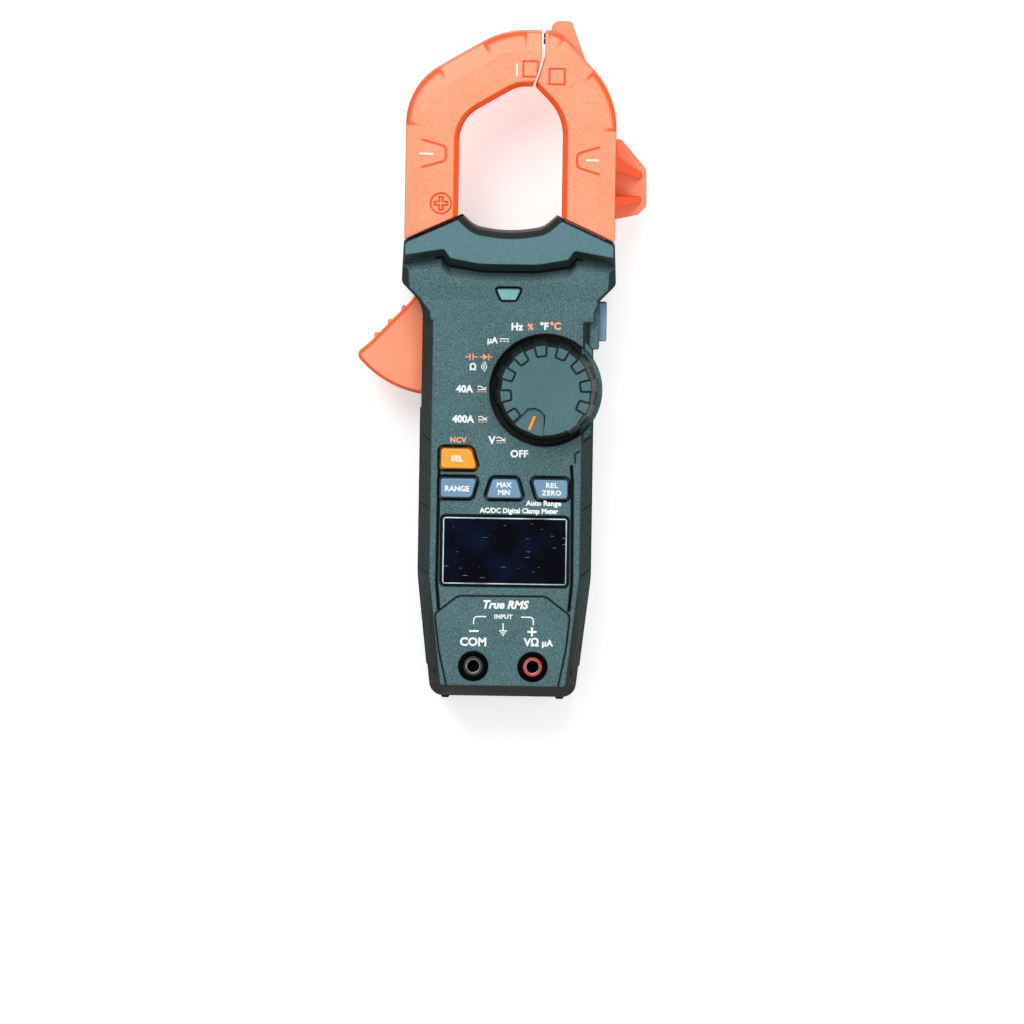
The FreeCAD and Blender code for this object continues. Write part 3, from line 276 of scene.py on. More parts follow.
@dataclass(frozen=True)
class CasePlastic(Finish):
    """Glass-filled nylon, moulded with a spark-eroded texture; recesses get near-black painted shade, the
    head plate a paler painted light, and flanks are pimpled.

    Attributes:
        painted_recess_shade: Near-black colour of the painted shade in wells and grooves below the panel.
        plate: Paler colour painted on the head plate as painted light.
        panel_z_mm: Level of the panel.
        plate_z_mm: Level above which the head plate gets its painted light.
        flank_x_mm: Half width at which the pimpled flank begins.
        pimple_mm: Spacing of the pimples.
    """

    painted_recess_shade: str = "#0A1110"
    plate: str = "#5F8892"
    panel_z_mm: float = 30.0
    plate_z_mm: float = 33.6
    flank_x_mm: float = 23.6
    pimple_mm: float = 1.2

    def build(self) -> bpy.types.Material:
        """Make the material with its recesses, plate and flank zones."""
        material, tree, shader, place = self.start()
        colour, grain = self.mottled(tree, place)
        spot = add_node(tree, "ShaderNodeSeparateXYZ", {0: place})
        wide = add_node(tree, "ShaderNodeMath", {0: spot.outputs[0]}, operation="ABSOLUTE")
        flank = add_node(tree, "ShaderNodeMapRange",
                         {0: wide.outputs[0], 1: self.flank_x_mm * MM, 2: (self.flank_x_mm + 0.3) * MM})
        # Painted light: above the plate's level the colour is mixed towards the paler plate colour.
        high = add_node(tree, "ShaderNodeMapRange",
                        {0: spot.outputs[2], 1: self.plate_z_mm * MM, 2: (self.plate_z_mm + 0.5) * MM,
                         4: 0.4})
        colour = add_node(tree, "ShaderNodeMix", {0: high.outputs[0], 6: colour, 7: linear(self.plate)},
                          data_type="RGBA").outputs[2]
        # Painted shade: wells and grooves below the panel, away from the flanks, turn near-black.
        sunk = add_node(tree, "ShaderNodeMapRange",
                        {0: spot.outputs[2], 1: (self.panel_z_mm - 0.1) * MM,
                         2: (self.panel_z_mm - 0.25) * MM})
        inner = add_node(tree, "ShaderNodeMath", {0: 1.0, 1: flank.outputs[0]}, operation="SUBTRACT")
        well = add_node(tree, "ShaderNodeMath", {0: sunk.outputs[0], 1: inner.outputs[0]},
                        operation="MULTIPLY")
        pimples = add_node(tree, "ShaderNodeTexVoronoi",
                           {"Vector": place, "Scale": 1 / (self.pimple_mm * MM)})
        domes = add_node(tree, "ShaderNodeMapRange", {0: pimples.outputs["Distance"], 1: 0.5, 2: 0.1})
        lean = add_node(tree, "ShaderNodeSeparateXYZ",
                        {0: add_node(tree, "ShaderNodeNewGeometry").outputs["Normal"]})
        sloped = add_node(tree, "ShaderNodeMapRange", {0: lean.outputs[2], 1: 0.9, 2: 0.8})
        rough_zone = add_node(tree, "ShaderNodeMath", {0: flank.outputs[0], 1: sloped.outputs[0]},
                              operation="MULTIPLY")
        on_flank = add_node(tree, "ShaderNodeMath", {0: domes.outputs[0], 1: rough_zone.outputs[0]},
                            operation="MULTIPLY")
        relief = add_node(tree, "ShaderNodeMath", {0: on_flank.outputs[0], 1: 3.0, 2: grain},
                          operation="MULTIPLY_ADD")
        colour, normal = self.eased(tree, colour)
        colour = add_node(tree, "ShaderNodeMix", {0: well.outputs[0], 6: colour, 7: linear(self.painted_recess_shade)},
                          data_type="RGBA").outputs[2]
        self.close(tree, shader, colour, relief.outputs[0], normal)
        return material


@dataclass(frozen=True)
class PimpledRubber(Finish):
    """Thermoplastic rubber moulded over the case, with small domes for grip.

    Attributes:
        pimple_mm: Spacing of the domes.
    """

    pimple_mm: float = 1.3

    def build(self) -> bpy.types.Material:
        """Make the material with its domes."""
        material, tree, shader, place = self.start()
        colour, grain = self.mottled(tree, place)
        pimples = add_node(tree, "ShaderNodeTexVoronoi",
                           {"Vector": place, "Scale": 1 / (self.pimple_mm * MM)})
        domes = add_node(tree, "ShaderNodeMapRange",
                         {0: pimples.outputs["Distance"], 1: 0.45, 2: 0.1, 4: 1.0})
        relief = add_node(tree, "ShaderNodeMath", {0: domes.outputs[0], 1: 4.0, 2: grain},
                          operation="MULTIPLY_ADD")
        colour, normal = self.eased(tree, colour)
        self.close(tree, shader, colour, relief.outputs[0], normal)
        return material


@dataclass(frozen=True)
class TurnedOrRolledMetal(Finish):
    """Metal with fine parallel lines from turning, rolling or stacking.

    Attributes:
        line_mm: Spacing of the lines.
        across: Axis that the lines are spaced along, 0 for X, 1 for Y, 2 for Z.
        line_depth: Share of the relief that the lines take.
    """

    line_mm: float = 0.4
    across: int = 2
    line_depth: float = 0.8

    def build(self) -> bpy.types.Material:
        """Make the material with its lines."""
        material, tree, shader, place = self.start()
        colour, grain = self.mottled(tree, place)
        lines = add_node(tree, "ShaderNodeTexWave", {"Vector": place, "Scale": 0.314 / (self.line_mm * MM),
                                                     "Distortion": 0.6, "Detail": 1.0},
                         bands_direction="XYZ"[self.across])
        dark = add_node(tree, "ShaderNodeMapRange",
                        {0: lines.outputs["Fac"], 1: 0.0, 2: 0.35, 3: 0.45, 4: 0.0})
        colour = add_node(tree, "ShaderNodeMix", {0: dark.outputs[0], 6: colour, 7: linear(self.shade)},
                          data_type="RGBA").outputs[2]
        relief = add_node(tree, "ShaderNodeMath",
                          {0: lines.outputs["Fac"], 1: self.line_depth, 2: grain}, operation="MULTIPLY_ADD")
        colour, normal = self.eased(tree, colour)
        self.close(tree, shader, colour, relief.outputs[0], normal)
        return material


@dataclass(frozen=True)
class ScratchedWindow(Finish):
    """Polished tinted acrylic over a dark display, with the hair scratches of use and a painted highlight
    along its rim.

    Attributes:
        scratch_mm: Length of a scratch.
        rim_highlight_mm: Width of the painted highlight along the rim.
    """

    scratch_mm: float = 5.0
    rim_highlight_mm: float = 0.42

    def build(self) -> bpy.types.Material:
        """Make the material with its scratches, blue haze and painted rim highlight."""
        material, tree, shader, place = self.start()
        cloud = add_node(tree, "ShaderNodeTexNoise", {"Vector": place, "Scale": 1 / (9 * MM), "Detail": 5.0})
        haze = add_node(tree, "ShaderNodeMapRange", {0: cloud.outputs[0], 1: 0.45, 2: 0.8, 4: 0.6})
        colour = add_node(tree, "ShaderNodeMix",
                          {0: haze.outputs[0], 6: linear(self.base), 7: linear(self.shade)},
                          data_type="RGBA").outputs[2]
        marks = None
        for turn, rare in ((0.9, 0.765), (-0.35, 0.775), (2.1, 0.77)):
            laid = add_node(tree, "ShaderNodeMapping",
                            {0: place, "Rotation": (0.0, 0.0, turn), "Scale": (1 / (self.scratch_mm * MM),
                                                                              1 / (0.22 * MM), 1.0)})
            line = add_node(tree, "ShaderNodeTexNoise",
                            {"Vector": laid.outputs[0], "Scale": 1.0, "Detail": 1.0})
            cut = add_node(tree, "ShaderNodeMapRange", {0: line.outputs[0], 1: rare, 2: rare + 0.03})
            marks = cut.outputs[0] if marks is None else add_node(
                tree, "ShaderNodeMath", {0: marks, 1: cut.outputs[0]}, operation="MAXIMUM").outputs[0]
        colour = add_node(tree, "ShaderNodeMix", {0: marks, 6: colour, 7: linear(self.fleck)},
                          data_type="RGBA").outputs[2]
        colour = self.paint_rim_highlight(tree, place, colour, cloud.outputs[0])
        colour, normal = self.eased(tree, colour)
        rough = add_node(tree, "ShaderNodeMapRange", {0: marks, 3: self.roughness, 4: self.roughness + 0.35})
        tree.links.new(rough.outputs[0], shader.inputs["Roughness"])
        tree.links.new(colour, shader.inputs["Base Color"])
        tree.links.new(normal, shader.inputs["Normal"])
        return material

    def paint_rim_highlight(self, tree: bpy.types.NodeTree, place: bpy.types.NodeSocket, colour: bpy.types.NodeSocket,
               cloud: bpy.types.NodeSocket) -> bpy.types.NodeSocket:
        """Paint a highlight along the window's rim, unevenly, standing for the reflection on its polished
        bevel.

        Args:
            tree: Node tree of the material.
            place: Place on the object in metres.
            colour: Colour of the pane.
            cloud: Slow noise that breaks up the painted highlight.

        Returns:
            Colour socket with the painted rim highlight.
        """
        low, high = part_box("display_window")
        middle, half = (low + high) / 2, (high - low) / 2
        spot = add_node(tree, "ShaderNodeSeparateXYZ", {0: place})
        bands = []
        for axis in range(2):
            off = add_node(tree, "ShaderNodeMath", {0: spot.outputs[axis], 1: middle[axis]},
                           operation="SUBTRACT")
            away = add_node(tree, "ShaderNodeMath", {0: off.outputs[0]}, operation="ABSOLUTE")
            edge = half[axis] - self.rim_highlight_mm * MM
            bands.append(add_node(tree, "ShaderNodeMapRange",
                                  {0: away.outputs[0], 1: edge, 2: edge + 0.12 * MM}).outputs[0])
        # Painted highlight: a band along the rim is mixed towards the bright edge colour.
        rim = add_node(tree, "ShaderNodeMath", {0: bands[0], 1: bands[1]}, operation="MAXIMUM")
        uneven = add_node(tree, "ShaderNodeMapRange", {0: cloud, 1: 0.3, 2: 0.6, 3: 0.25, 4: 1.0})
        share = add_node(tree, "ShaderNodeMath", {0: rim.outputs[0], 1: uneven.outputs[0]},
                         operation="MULTIPLY")
        return add_node(tree, "ShaderNodeMix", {0: share.outputs[0], 6: colour, 7: linear(self.edge)},
                        data_type="RGBA").outputs[2]


# ---------------------------------------------------------------- the finishes of this meter
# Each finish's fifth colour is painted on rounded edges: painted shade where it is darker than the base,
# painted highlight where it is lighter, and on the board its tan laminate. A wall colour is painted shade.
# Case nylon: dark green-grey with fine light specks, painted shade on walls and rounded edges, near-black
# painted shade in the wells and a paler painted light on the head plate.
CASE_NYLON = CasePlastic("glass_filled_nylon_spark_textured", "#2F5054", "#233E42", "#7FA6AC", "#1D3232",
                         grain_mm=0.34, grain_depth_mm=0.05, roughness=0.55, ior=1.53, fleck_share=0.5,
                         edge_mm=0.75, painted_wall_shade="#132624", gloss=0.2)
# Grip rubber: almost black and matt, with small domes that catch a dull light.
GRIP_RUBBER = PimpledRubber("thermoplastic_rubber_pimpled", "#141E1D", "#0F1716", "#2C3F40", "#1E2C2C",
                            grain_mm=0.4, grain_depth_mm=0.06, roughness=0.72, ior=1.52, gloss=0.15)
# Orange ABS: a salmon-orange skin, with painted shade in full orange on rounded edges and walls.
JAW_ABS = Finish("abs_moulded_orange", "#F98A62", "#F47F54", "#FFC0A4", "#F2480C",
                 grain_mm=0.36, grain_depth_mm=0.03, roughness=0.5, ior=1.53, edge_mm=0.6, fleck_share=0.45,
                 painted_wall_shade="#F2551A", gloss=0.35)
# Dial ABS: grey-green like the case, with near-black painted shade on its walls, rounded edges and the walls
# of its lines.
DIAL_ABS = Finish("abs_moulded_grey_green", "#44676C", "#3C5D62", "#6A8D94", "#0E1717",
                  grain_mm=0.36, grain_depth_mm=0.012, roughness=0.5, ior=1.53, edge_mm=0.3, fleck_share=0.3,
                  painted_wall_shade="#0C1413", gloss=0.2)
# Pointer ABS: one clean, bright orange bar.
POINTER_ABS = Finish("abs_moulded_bright_orange", "#FF8A22", "#F97F16", "#FFA95C", "#E86A08",
                     grain_mm=0.4, grain_depth_mm=0.01, roughness=0.45, ior=1.53)
# Amber key: a warm satin yellow-orange, with painted shade in brown on its wall and rounded edges.
SEL_KEY = Finish("abs_moulded_amber_key", "#FF9F1C", "#F79410", "#FFB64E", "#D97A06",
                 grain_mm=0.4, grain_depth_mm=0.008, roughness=0.42, ior=1.53, edge_mm=0.35, painted_wall_shade="#B45F04")
# Blue keys: a dull blue-grey with painted shade on the wall, so that each key stands clear of its well.
BLUE_KEY = Finish("abs_moulded_blue_grey_key", "#668DAA", "#5B7F9D", "#8DB0CA", "#3F5B73",
                  grain_mm=0.36, grain_depth_mm=0.008, roughness=0.45, ior=1.53, edge_mm=0.35,
                  painted_wall_shade="#2E4558")
# White ink: a flat, slightly cool white, thin enough to read as print.
WHITE_INK = Finish("pad_printed_white_ink", "#EDF3F2", "#DCE6E5", "#FFFFFF", "#DCE6E5",
                   grain_mm=0.4, grain_depth_mm=0.004, roughness=0.5, edge_mm=0.03)
# Orange ink: the same print in a paler orange than the jaws.
ORANGE_INK = Finish("pad_printed_orange_ink", "#F2A377", "#E79566", "#FFC09C", "#E79566",
                    grain_mm=0.4, grain_depth_mm=0.004, roughness=0.5, edge_mm=0.03)
# Black ABS: a plain dark moulding that recedes.
BLACK_ABS = Finish("abs_moulded_black", "#0B0C0D", "#070808", "#1B1D1F", "#1B1D1F",
                   grain_mm=0.5, grain_depth_mm=0.02, roughness=0.5, ior=1.53)
# Polished red ABS: glossy enough for a sharp highlight.
RED_ABS = Finish("abs_polished_red", "#D8202B", "#C01821", "#F0525A", "#F2757B",
                 grain_mm=0.5, grain_depth_mm=0.004, roughness=0.25, ior=1.53, coat=0.3)
# Polished grey ABS: as glossy as the red, and nearly black.
GREY_ABS = Finish("abs_polished_dark_grey", "#17181B", "#101113", "#2C2E33", "#6E7278",
                  grain_mm=0.5, grain_depth_mm=0.004, roughness=0.25, ior=1.53, coat=0.3)
# Window acrylic: nearly black with a blue haze, hair scratches and a painted highlight on the rim.
WINDOW_ACRYLIC = ScratchedWindow("acrylic_tinted_scratched", "#01020A", "#081A38", "#AFC3D6", "#C9DCE4",
                                 roughness=0.1, ior=1.49, edge_mm=0.3, gloss=0.1)
# Lens acrylic: a frosted pale green.
LENS_ACRYLIC = Finish("acrylic_frosted_green", "#6FA9A8", "#659D9C", "#93C4C4", "#3F6E6E",
                      grain_mm=0.4, grain_depth_mm=0.006, roughness=0.35, ior=1.49, coat=0.2)
# Display glass: a smooth, dark green-grey.
LCD_GLASS = Finish("display_glass_polarised", "#1C2421", "#151C1A", "#2A3431", "#3B4743",
                   grain_mm=0.8, grain_depth_mm=0.001, roughness=0.08, ior=1.52)
# Diffuser: an even, milky white.
DIFFUSER = Finish("polycarbonate_diffuser", "#E6E6DC", "#DADACE", "#F3F3EC", "#CFCFC4",
                  grain_mm=0.5, grain_depth_mm=0.005, roughness=0.4, ior=1.58)
# Silicone: a soft, pale, matt grey.
SILICONE = Finish("silicone_moulded_pale", "#CFCFCA", "#C2C2BC", "#DEDEDA", "#B9B9B2",
                  grain_mm=0.5, grain_depth_mm=0.01, roughness=0.6, ior=1.41)
# Board: green solder mask with darker parallel lines and tan edges.
BOARD = TurnedOrRolledMetal("glass_laminate_green_solder_mask", "#0F5A33", "#0A4226", "#1F7A4A", "#B08C4A",
                            grain_mm=0.8, grain_depth_mm=0.01, roughness=0.35, ior=1.5, line_mm=1.27,
                            across=0,
                            line_depth=0.4)
# Zinc-plated steel: bright grey with fine turning lines.
ZINC_STEEL = TurnedOrRolledMetal("steel_turned_zinc_plated", "#B9BBC0", "#8E9197", "#D5D7DA", "#E4E6E8",
                                 grain_mm=0.3, grain_depth_mm=0.006, roughness=0.34, metallic=1.0,
                                 line_mm=0.35)
# Core steel: dull dark grey with the lines of stacked sheets.
CORE_STEEL = TurnedOrRolledMetal("silicon_steel_sheet_stack", "#6E7075", "#3C3E42", "#85888D", "#9B9EA3",
                                 grain_mm=0.6, grain_depth_mm=0.01, roughness=0.45, metallic=1.0, line_mm=0.5)
# Sintered bronze: a warm, dull brown metal.
BRONZE = TurnedOrRolledMetal("bronze_sintered", "#A77A45", "#7C5729", "#C39A62", "#D3AE78",
                             grain_mm=0.3, grain_depth_mm=0.01, roughness=0.45, metallic=1.0, line_mm=0.5)
# Nickel plate: a bright, slightly warm metal.
NICKEL = TurnedOrRolledMetal("brass_turned_nickel_plated", "#C2BDB4", "#98938A", "#DCD8D0", "#ECE9E3",
                             grain_mm=0.3, grain_depth_mm=0.004, roughness=0.22, metallic=1.0, line_mm=0.4)
# Cell sleeve: a dark satin can with broad bands.
CELL_SLEEVE = TurnedOrRolledMetal("steel_can_printed_sleeve", "#34383E", "#23262B", "#565C64", "#8A9098",
                                  grain_mm=0.7, grain_depth_mm=0.004, roughness=0.3, line_mm=11.0, across=1,
                                  line_depth=0.1)


# ---------------------------------------------------------------- mesh helpers
def closed_mesh(name: str, verts: list[Vector], faces: list[list[int]]) -> bpy.types.Object:
    """Make an object in the scene from vertices in millimetres.

    Args:
        name: Name of the piece.
        verts: Corners in millimetres.
        faces: Corner numbers of each face.

    Returns:
        The new object, with its normals outwards.
    """
    mesh = bpy.data.meshes.new(name)
    work = bmesh.new()
    made = [work.verts.new(Vector(v) * MM) for v in verts]
    for face in faces:
        work.faces.new([made[i] for i in face])
    bmesh.ops.recalc_face_normals(work, faces=work.faces)
    work.to_mesh(mesh)
    work.free()
    item = bpy.data.objects.new(name, mesh)
    bpy.context.scene.collection.objects.link(item)
    return item


def arc(centre: Point, radius: float, start: float, end: float, steps: int) -> list[Point]:
    """Points along an arc, both ends included, angles in degrees."""
    angles = [math.radians(start + (end - start) * i / steps) for i in range(steps + 1)]
    return [(centre[0] + radius * math.cos(a), centre[1] + radius * math.sin(a)) for a in angles]


def eased_corners(points: list[tuple], steps: int = 4) -> list[Point]:
    """Round the corners of an open or closed run given as (x, y) or (x, y, radius).

    Args:
        points: Corners in order; ends without a radius stay as they are.
        steps: Facets of each arc.

    Returns:
        Points of the run in millimetres.
    """
    run: list[Point] = []
    for index, point in enumerate(points):
        if len(point) < 3 or not point[2]:
            run.append((point[0], point[1]))
            continue
        here = Vector(point[:2])
        back = (Vector(points[index - 1][:2]) - here).normalized()
        ahead = (Vector(points[(index + 1) % len(points)][:2]) - here).normalized()
        half = back.angle(ahead) / 2
        reach = point[2] / math.tan(half)
        centre = here + (back + ahead).normalized() * (point[2] / math.sin(half))
        first, last = here + back * reach - centre, here + ahead * reach - centre
        sweep = first.angle_signed(last)
        for step in range(steps + 1):
            spoke = first.copy()
            spoke.rotate(Matrix.Rotation(-sweep * step / steps, 2))
            run.append(tuple(centre + spoke))
    return run


def swept(name: str, sections: list[list[tuple[float, float, float]]], closed: bool = False
          ) -> bpy.types.Object:
    """A closed solid through sections of equally many corners.

    Args:
        name: Name of the piece.
        sections: Corners of each section in millimetres.
        closed: True when the last section joins the first.

    Returns:
        The new object.
    """
    count, size = len(sections), len(sections[0])
    verts = [Vector(corner) for section in sections for corner in section]
    faces = []
    for index in range(count if closed else count - 1):
        a, b = size * index, size * ((index + 1) % count)
        faces += [[a + k, a + (k + 1) % size, b + (k + 1) % size, b + k] for k in range(size)]
    if not closed:
        faces += [list(range(size)), list(range(size * (count - 1), size * count))]
    return closed_mesh(name, verts, faces)


def stroke(name: str, run: list[Point], width: float, low: float | list[float], high: float,
           closed: bool = False, foot: float = 1.0) -> bpy.types.Object:
    """A closed ribbon that follows a run of points.

    Args:
        name: Name of the piece.
        run: Points in millimetres.
        width: Width in millimetres.
        low: Lower level in millimetres, or one for each point.
        high: Upper level in millimetres.
        closed: True when the run comes back to its start.
        foot: Width of its lower side as a share of the upper one.

    Returns:
        The new object.
    """
    count = len(run)
    sides = []
    for index in range(count):
        here = Vector(run[index])
        before = Vector(run[index - 1]) if closed or index else None
        after = Vector(run[(index + 1) % count]) if closed or index < count - 1 else None
        arriving = (here - before).normalized() if before is not None else (after - here).normalized()
        leaving = (after - here).normalized() if after is not None else arriving
        tangent = (arriving + leaving).normalized()
        across = Vector((-tangent.y, tangent.x)) * (width / 2 / max(tangent.dot(leaving), 0.4))
        sides.append((here + across, here - across))
    lows = low if isinstance(low, list) else [low] * count
    squeeze = (1 - foot) / 2
    return swept(name, [
        [(*left.lerp(right, squeeze), level), (*right.lerp(left, squeeze), level), (*right, high),
         (*left, high)]
        for (left, right), level in zip(sides, lows)], closed)


def groove(run: list[Point], width: float, depth: float, level: float, closed: bool = False
           ) -> bpy.types.Object:
    """Cutter of a groove with sloping walls along a run.

    Args:
        run: Points in millimetres.
        width: Width at the surface, in millimetres.
        depth: Depth in millimetres.
        level: Level of the surface in millimetres.
        closed: True when the run comes back to its start.

    Returns:
        The cutter.
    """
    return stroke("tool", run, width, level - depth, level + 0.04, closed, foot=0.2)


def prism(name: str, outline: list[Point], low: float | list[float], high: float) -> bpy.types.Object:
    """A flat-topped solid over an outline in millimetres; its foot has one level, or one for each point."""
    count = len(outline)
    lows = low if isinstance(low, list) else [low] * count
    verts = [Vector((x, y, z)) for levels in (lows, [high] * count) for (x, y), z in zip(outline, levels)]
    faces = [list(range(count)), list(range(count, 2 * count))]
    faces += [[i, (i + 1) % count, count + (i + 1) % count, count + i] for i in range(count)]
    return closed_mesh(name, verts, faces)


def plus_outline(middle: Point, arm: float, half: float) -> list[Point]:
    """Outline of a plus sign, counter-clockwise, from its arm length and half its stroke."""
    corner = [(half, -arm), (half, -half), (arm, -half)]
    run: list[Point] = []
    for _ in range(4):
        run += [(middle[0] + x, middle[1] + y) for x, y in corner]
        corner = [(-y, x) for x, y in corner]
    return run


def joined(name: str, items: list[bpy.types.Object]) -> bpy.types.Object:
    """Join several objects into one, keeping them as separate closed shells."""
    work = bmesh.new()
    for item in items:
        item.data.transform(item.matrix_world)
        work.from_mesh(item.data)
        old = item.data
        bpy.data.objects.remove(item)
        bpy.data.meshes.remove(old)
    mesh = bpy.data.meshes.new(name)
    work.to_mesh(mesh)
    work.free()
    made = bpy.data.objects.new(name, mesh)
    bpy.context.scene.collection.objects.link(made)
    return made


def copy_of_node(name: str, node: str, body: str) -> bpy.types.Object:
    """Copy a CAD node's mesh into a new piece that stands for it, with its seams welded.

    Args:
        name: Name of the new piece.
        node: CAD node to stand for.
        body: Body that it rides on.

    Returns:
        The new piece.
    """
    mesh = frame["nodes"][node].data.copy()
    mesh.name = name
    work = bmesh.new()
    work.from_mesh(mesh)
    bmesh.ops.remove_doubles(work, verts=work.verts, dist=1e-7)
    work.to_mesh(mesh)
    work.free()
    mesh.materials.clear()
    item = bpy.data.objects.new(name, mesh)
    bpy.context.scene.collection.objects.link(item)
    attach(item, body)
    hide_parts(node)
    return item


def carve(item: bpy.types.Object, tools: list[bpy.types.Object]) -> None:
    """Cut closed tools out of a piece and keep the result as its mesh.

    Args:
        item: Piece that is cut.
        tools: Cutting shapes, which are removed afterwards.
    """
    tool = joined(item.name + "_tool", tools)
    cut = item.modifiers.new("cut", "BOOLEAN")
    cut.object = tool
    cut.operation = "DIFFERENCE"
    cut.solver = "EXACT"
    cut.use_self = True
    graph = bpy.context.evaluated_depsgraph_get()
    result = bpy.data.meshes.new_from_object(item.evaluated_get(graph))
    item.modifiers.remove(cut)
    item.data = result
    old = tool.data
    bpy.data.objects.remove(tool)
    bpy.data.meshes.remove(old)


def plan_outline(node: str, above: float) -> list[Point]:
    """The convex outline of a CAD node seen from the front.

    Args:
        node: CAD node.
        above: Only what lies above this level counts, in millimetres.

    Returns:
        Points in millimetres, counter-clockwise.
    """
    spots = [v.co / MM for v in frame["nodes"][node].data.vertices if v.co.z > above * MM]
    flat = [Vector((p.x, p.y)) for p in spots]
    ring = [flat[i] for i in convex_hull_2d(flat)]
    kept = [p for i, p in enumerate(ring) if (p - ring[i - 1]).length > 0.02]
    area = sum(a.x * b.y - b.x * a.y for a, b in zip(kept, kept[1:] + kept[:1]))
    return [(p.x, p.y) for p in (kept if area > 0 else reversed(kept))]


def grown(outline: list[Point], distance: float) -> list[Point]:
    """Move the points of a counter-clockwise convex outline outwards by a distance."""
    moved = []
    for index, point in enumerate(outline):
        here = Vector(point)
        arriving = (here - Vector(outline[index - 1])).normalized()
        leaving = (Vector(outline[(index + 1) % len(outline)]) - here).normalized()
        out = Vector((arriving.y + leaving.y, -arriving.x - leaving.x)) / (1 + arriving.dot(leaving))
        moved.append(tuple(here + out * distance))
    return moved


def dress(item: bpy.types.Object, material: bpy.types.Material) -> None:
    """Give every face of an object one material."""
    item.data.materials.clear()
    item.data.materials.append(material)
    for face in item.data.polygons:
        face.material_index = 0


# ---------------------------------------------------------------- printed legends
@dataclass
class Legend:
    """One printed word or sign.

    Attributes:
        name: Name of the piece.
        words: What is printed.
        spot: Middle of its foot line in millimetres.
        height: Height of a capital letter in millimetres.
        orange: True for orange ink.
        bold: Extra stroke weight as a share of the height.
        slant: Lean of the letters.
        stretch: Width against a plain letter.
        spread: Letter spacing.
    """

    name: str
    words: str
    spot: Point
    height: float
    orange: bool = False
    bold: float = 0.055
    slant: float = 0.0
    stretch: float = 1.0
    spread: float = 1.0

    def build(self, level: float, body: str, inks: dict[bool, bpy.types.Material]) -> bpy.types.Object:
        """Make the thin closed mesh of the print.

        Args:
            level: Surface it is printed on, in millimetres.
            body: Body that it rides on.
            inks: Materials of white and orange ink.

        Returns:
            The new piece.
        """
        curve = bpy.data.curves.new(self.name, "FONT")
        curve.body = self.words
        curve.align_x = "CENTER"
        curve.size = self.height / CAP_SHARE * MM
        curve.shear = self.slant
        curve.space_character = self.spread
        curve.offset = self.bold * self.height * MM
        curve.extrude = PRINT_MM / 2 * MM
        curve.resolution_u = 3
        source = bpy.data.objects.new(self.name, curve)
        bpy.context.scene.collection.objects.link(source)
        graph = bpy.context.evaluated_depsgraph_get()
        mesh = bpy.data.meshes.new_from_object(source.evaluated_get(graph))
        bpy.data.objects.remove(source)
        work = bmesh.new()
        work.from_mesh(mesh)
        bmesh.ops.remove_doubles(work, verts=work.verts, dist=1e-7)
        bmesh.ops.scale(work, vec=(self.stretch, 1, 1), verts=work.verts)
        bmesh.ops.translate(work,
                            vec=(self.spot[0] * MM, self.spot[1] * MM, (level + PRINT_MM / 2 - 0.01) * MM),
                            verts=work.verts)
        work.to_mesh(mesh)
        work.free()
        mesh.name = self.name
        item = bpy.data.objects.new(self.name, mesh)
        bpy.context.scene.collection.objects.link(item)
        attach(item, body)
        dress(item, inks[self.orange])
        return item


CAP_SHARE = 0.729
PRINT_MM = 0.05


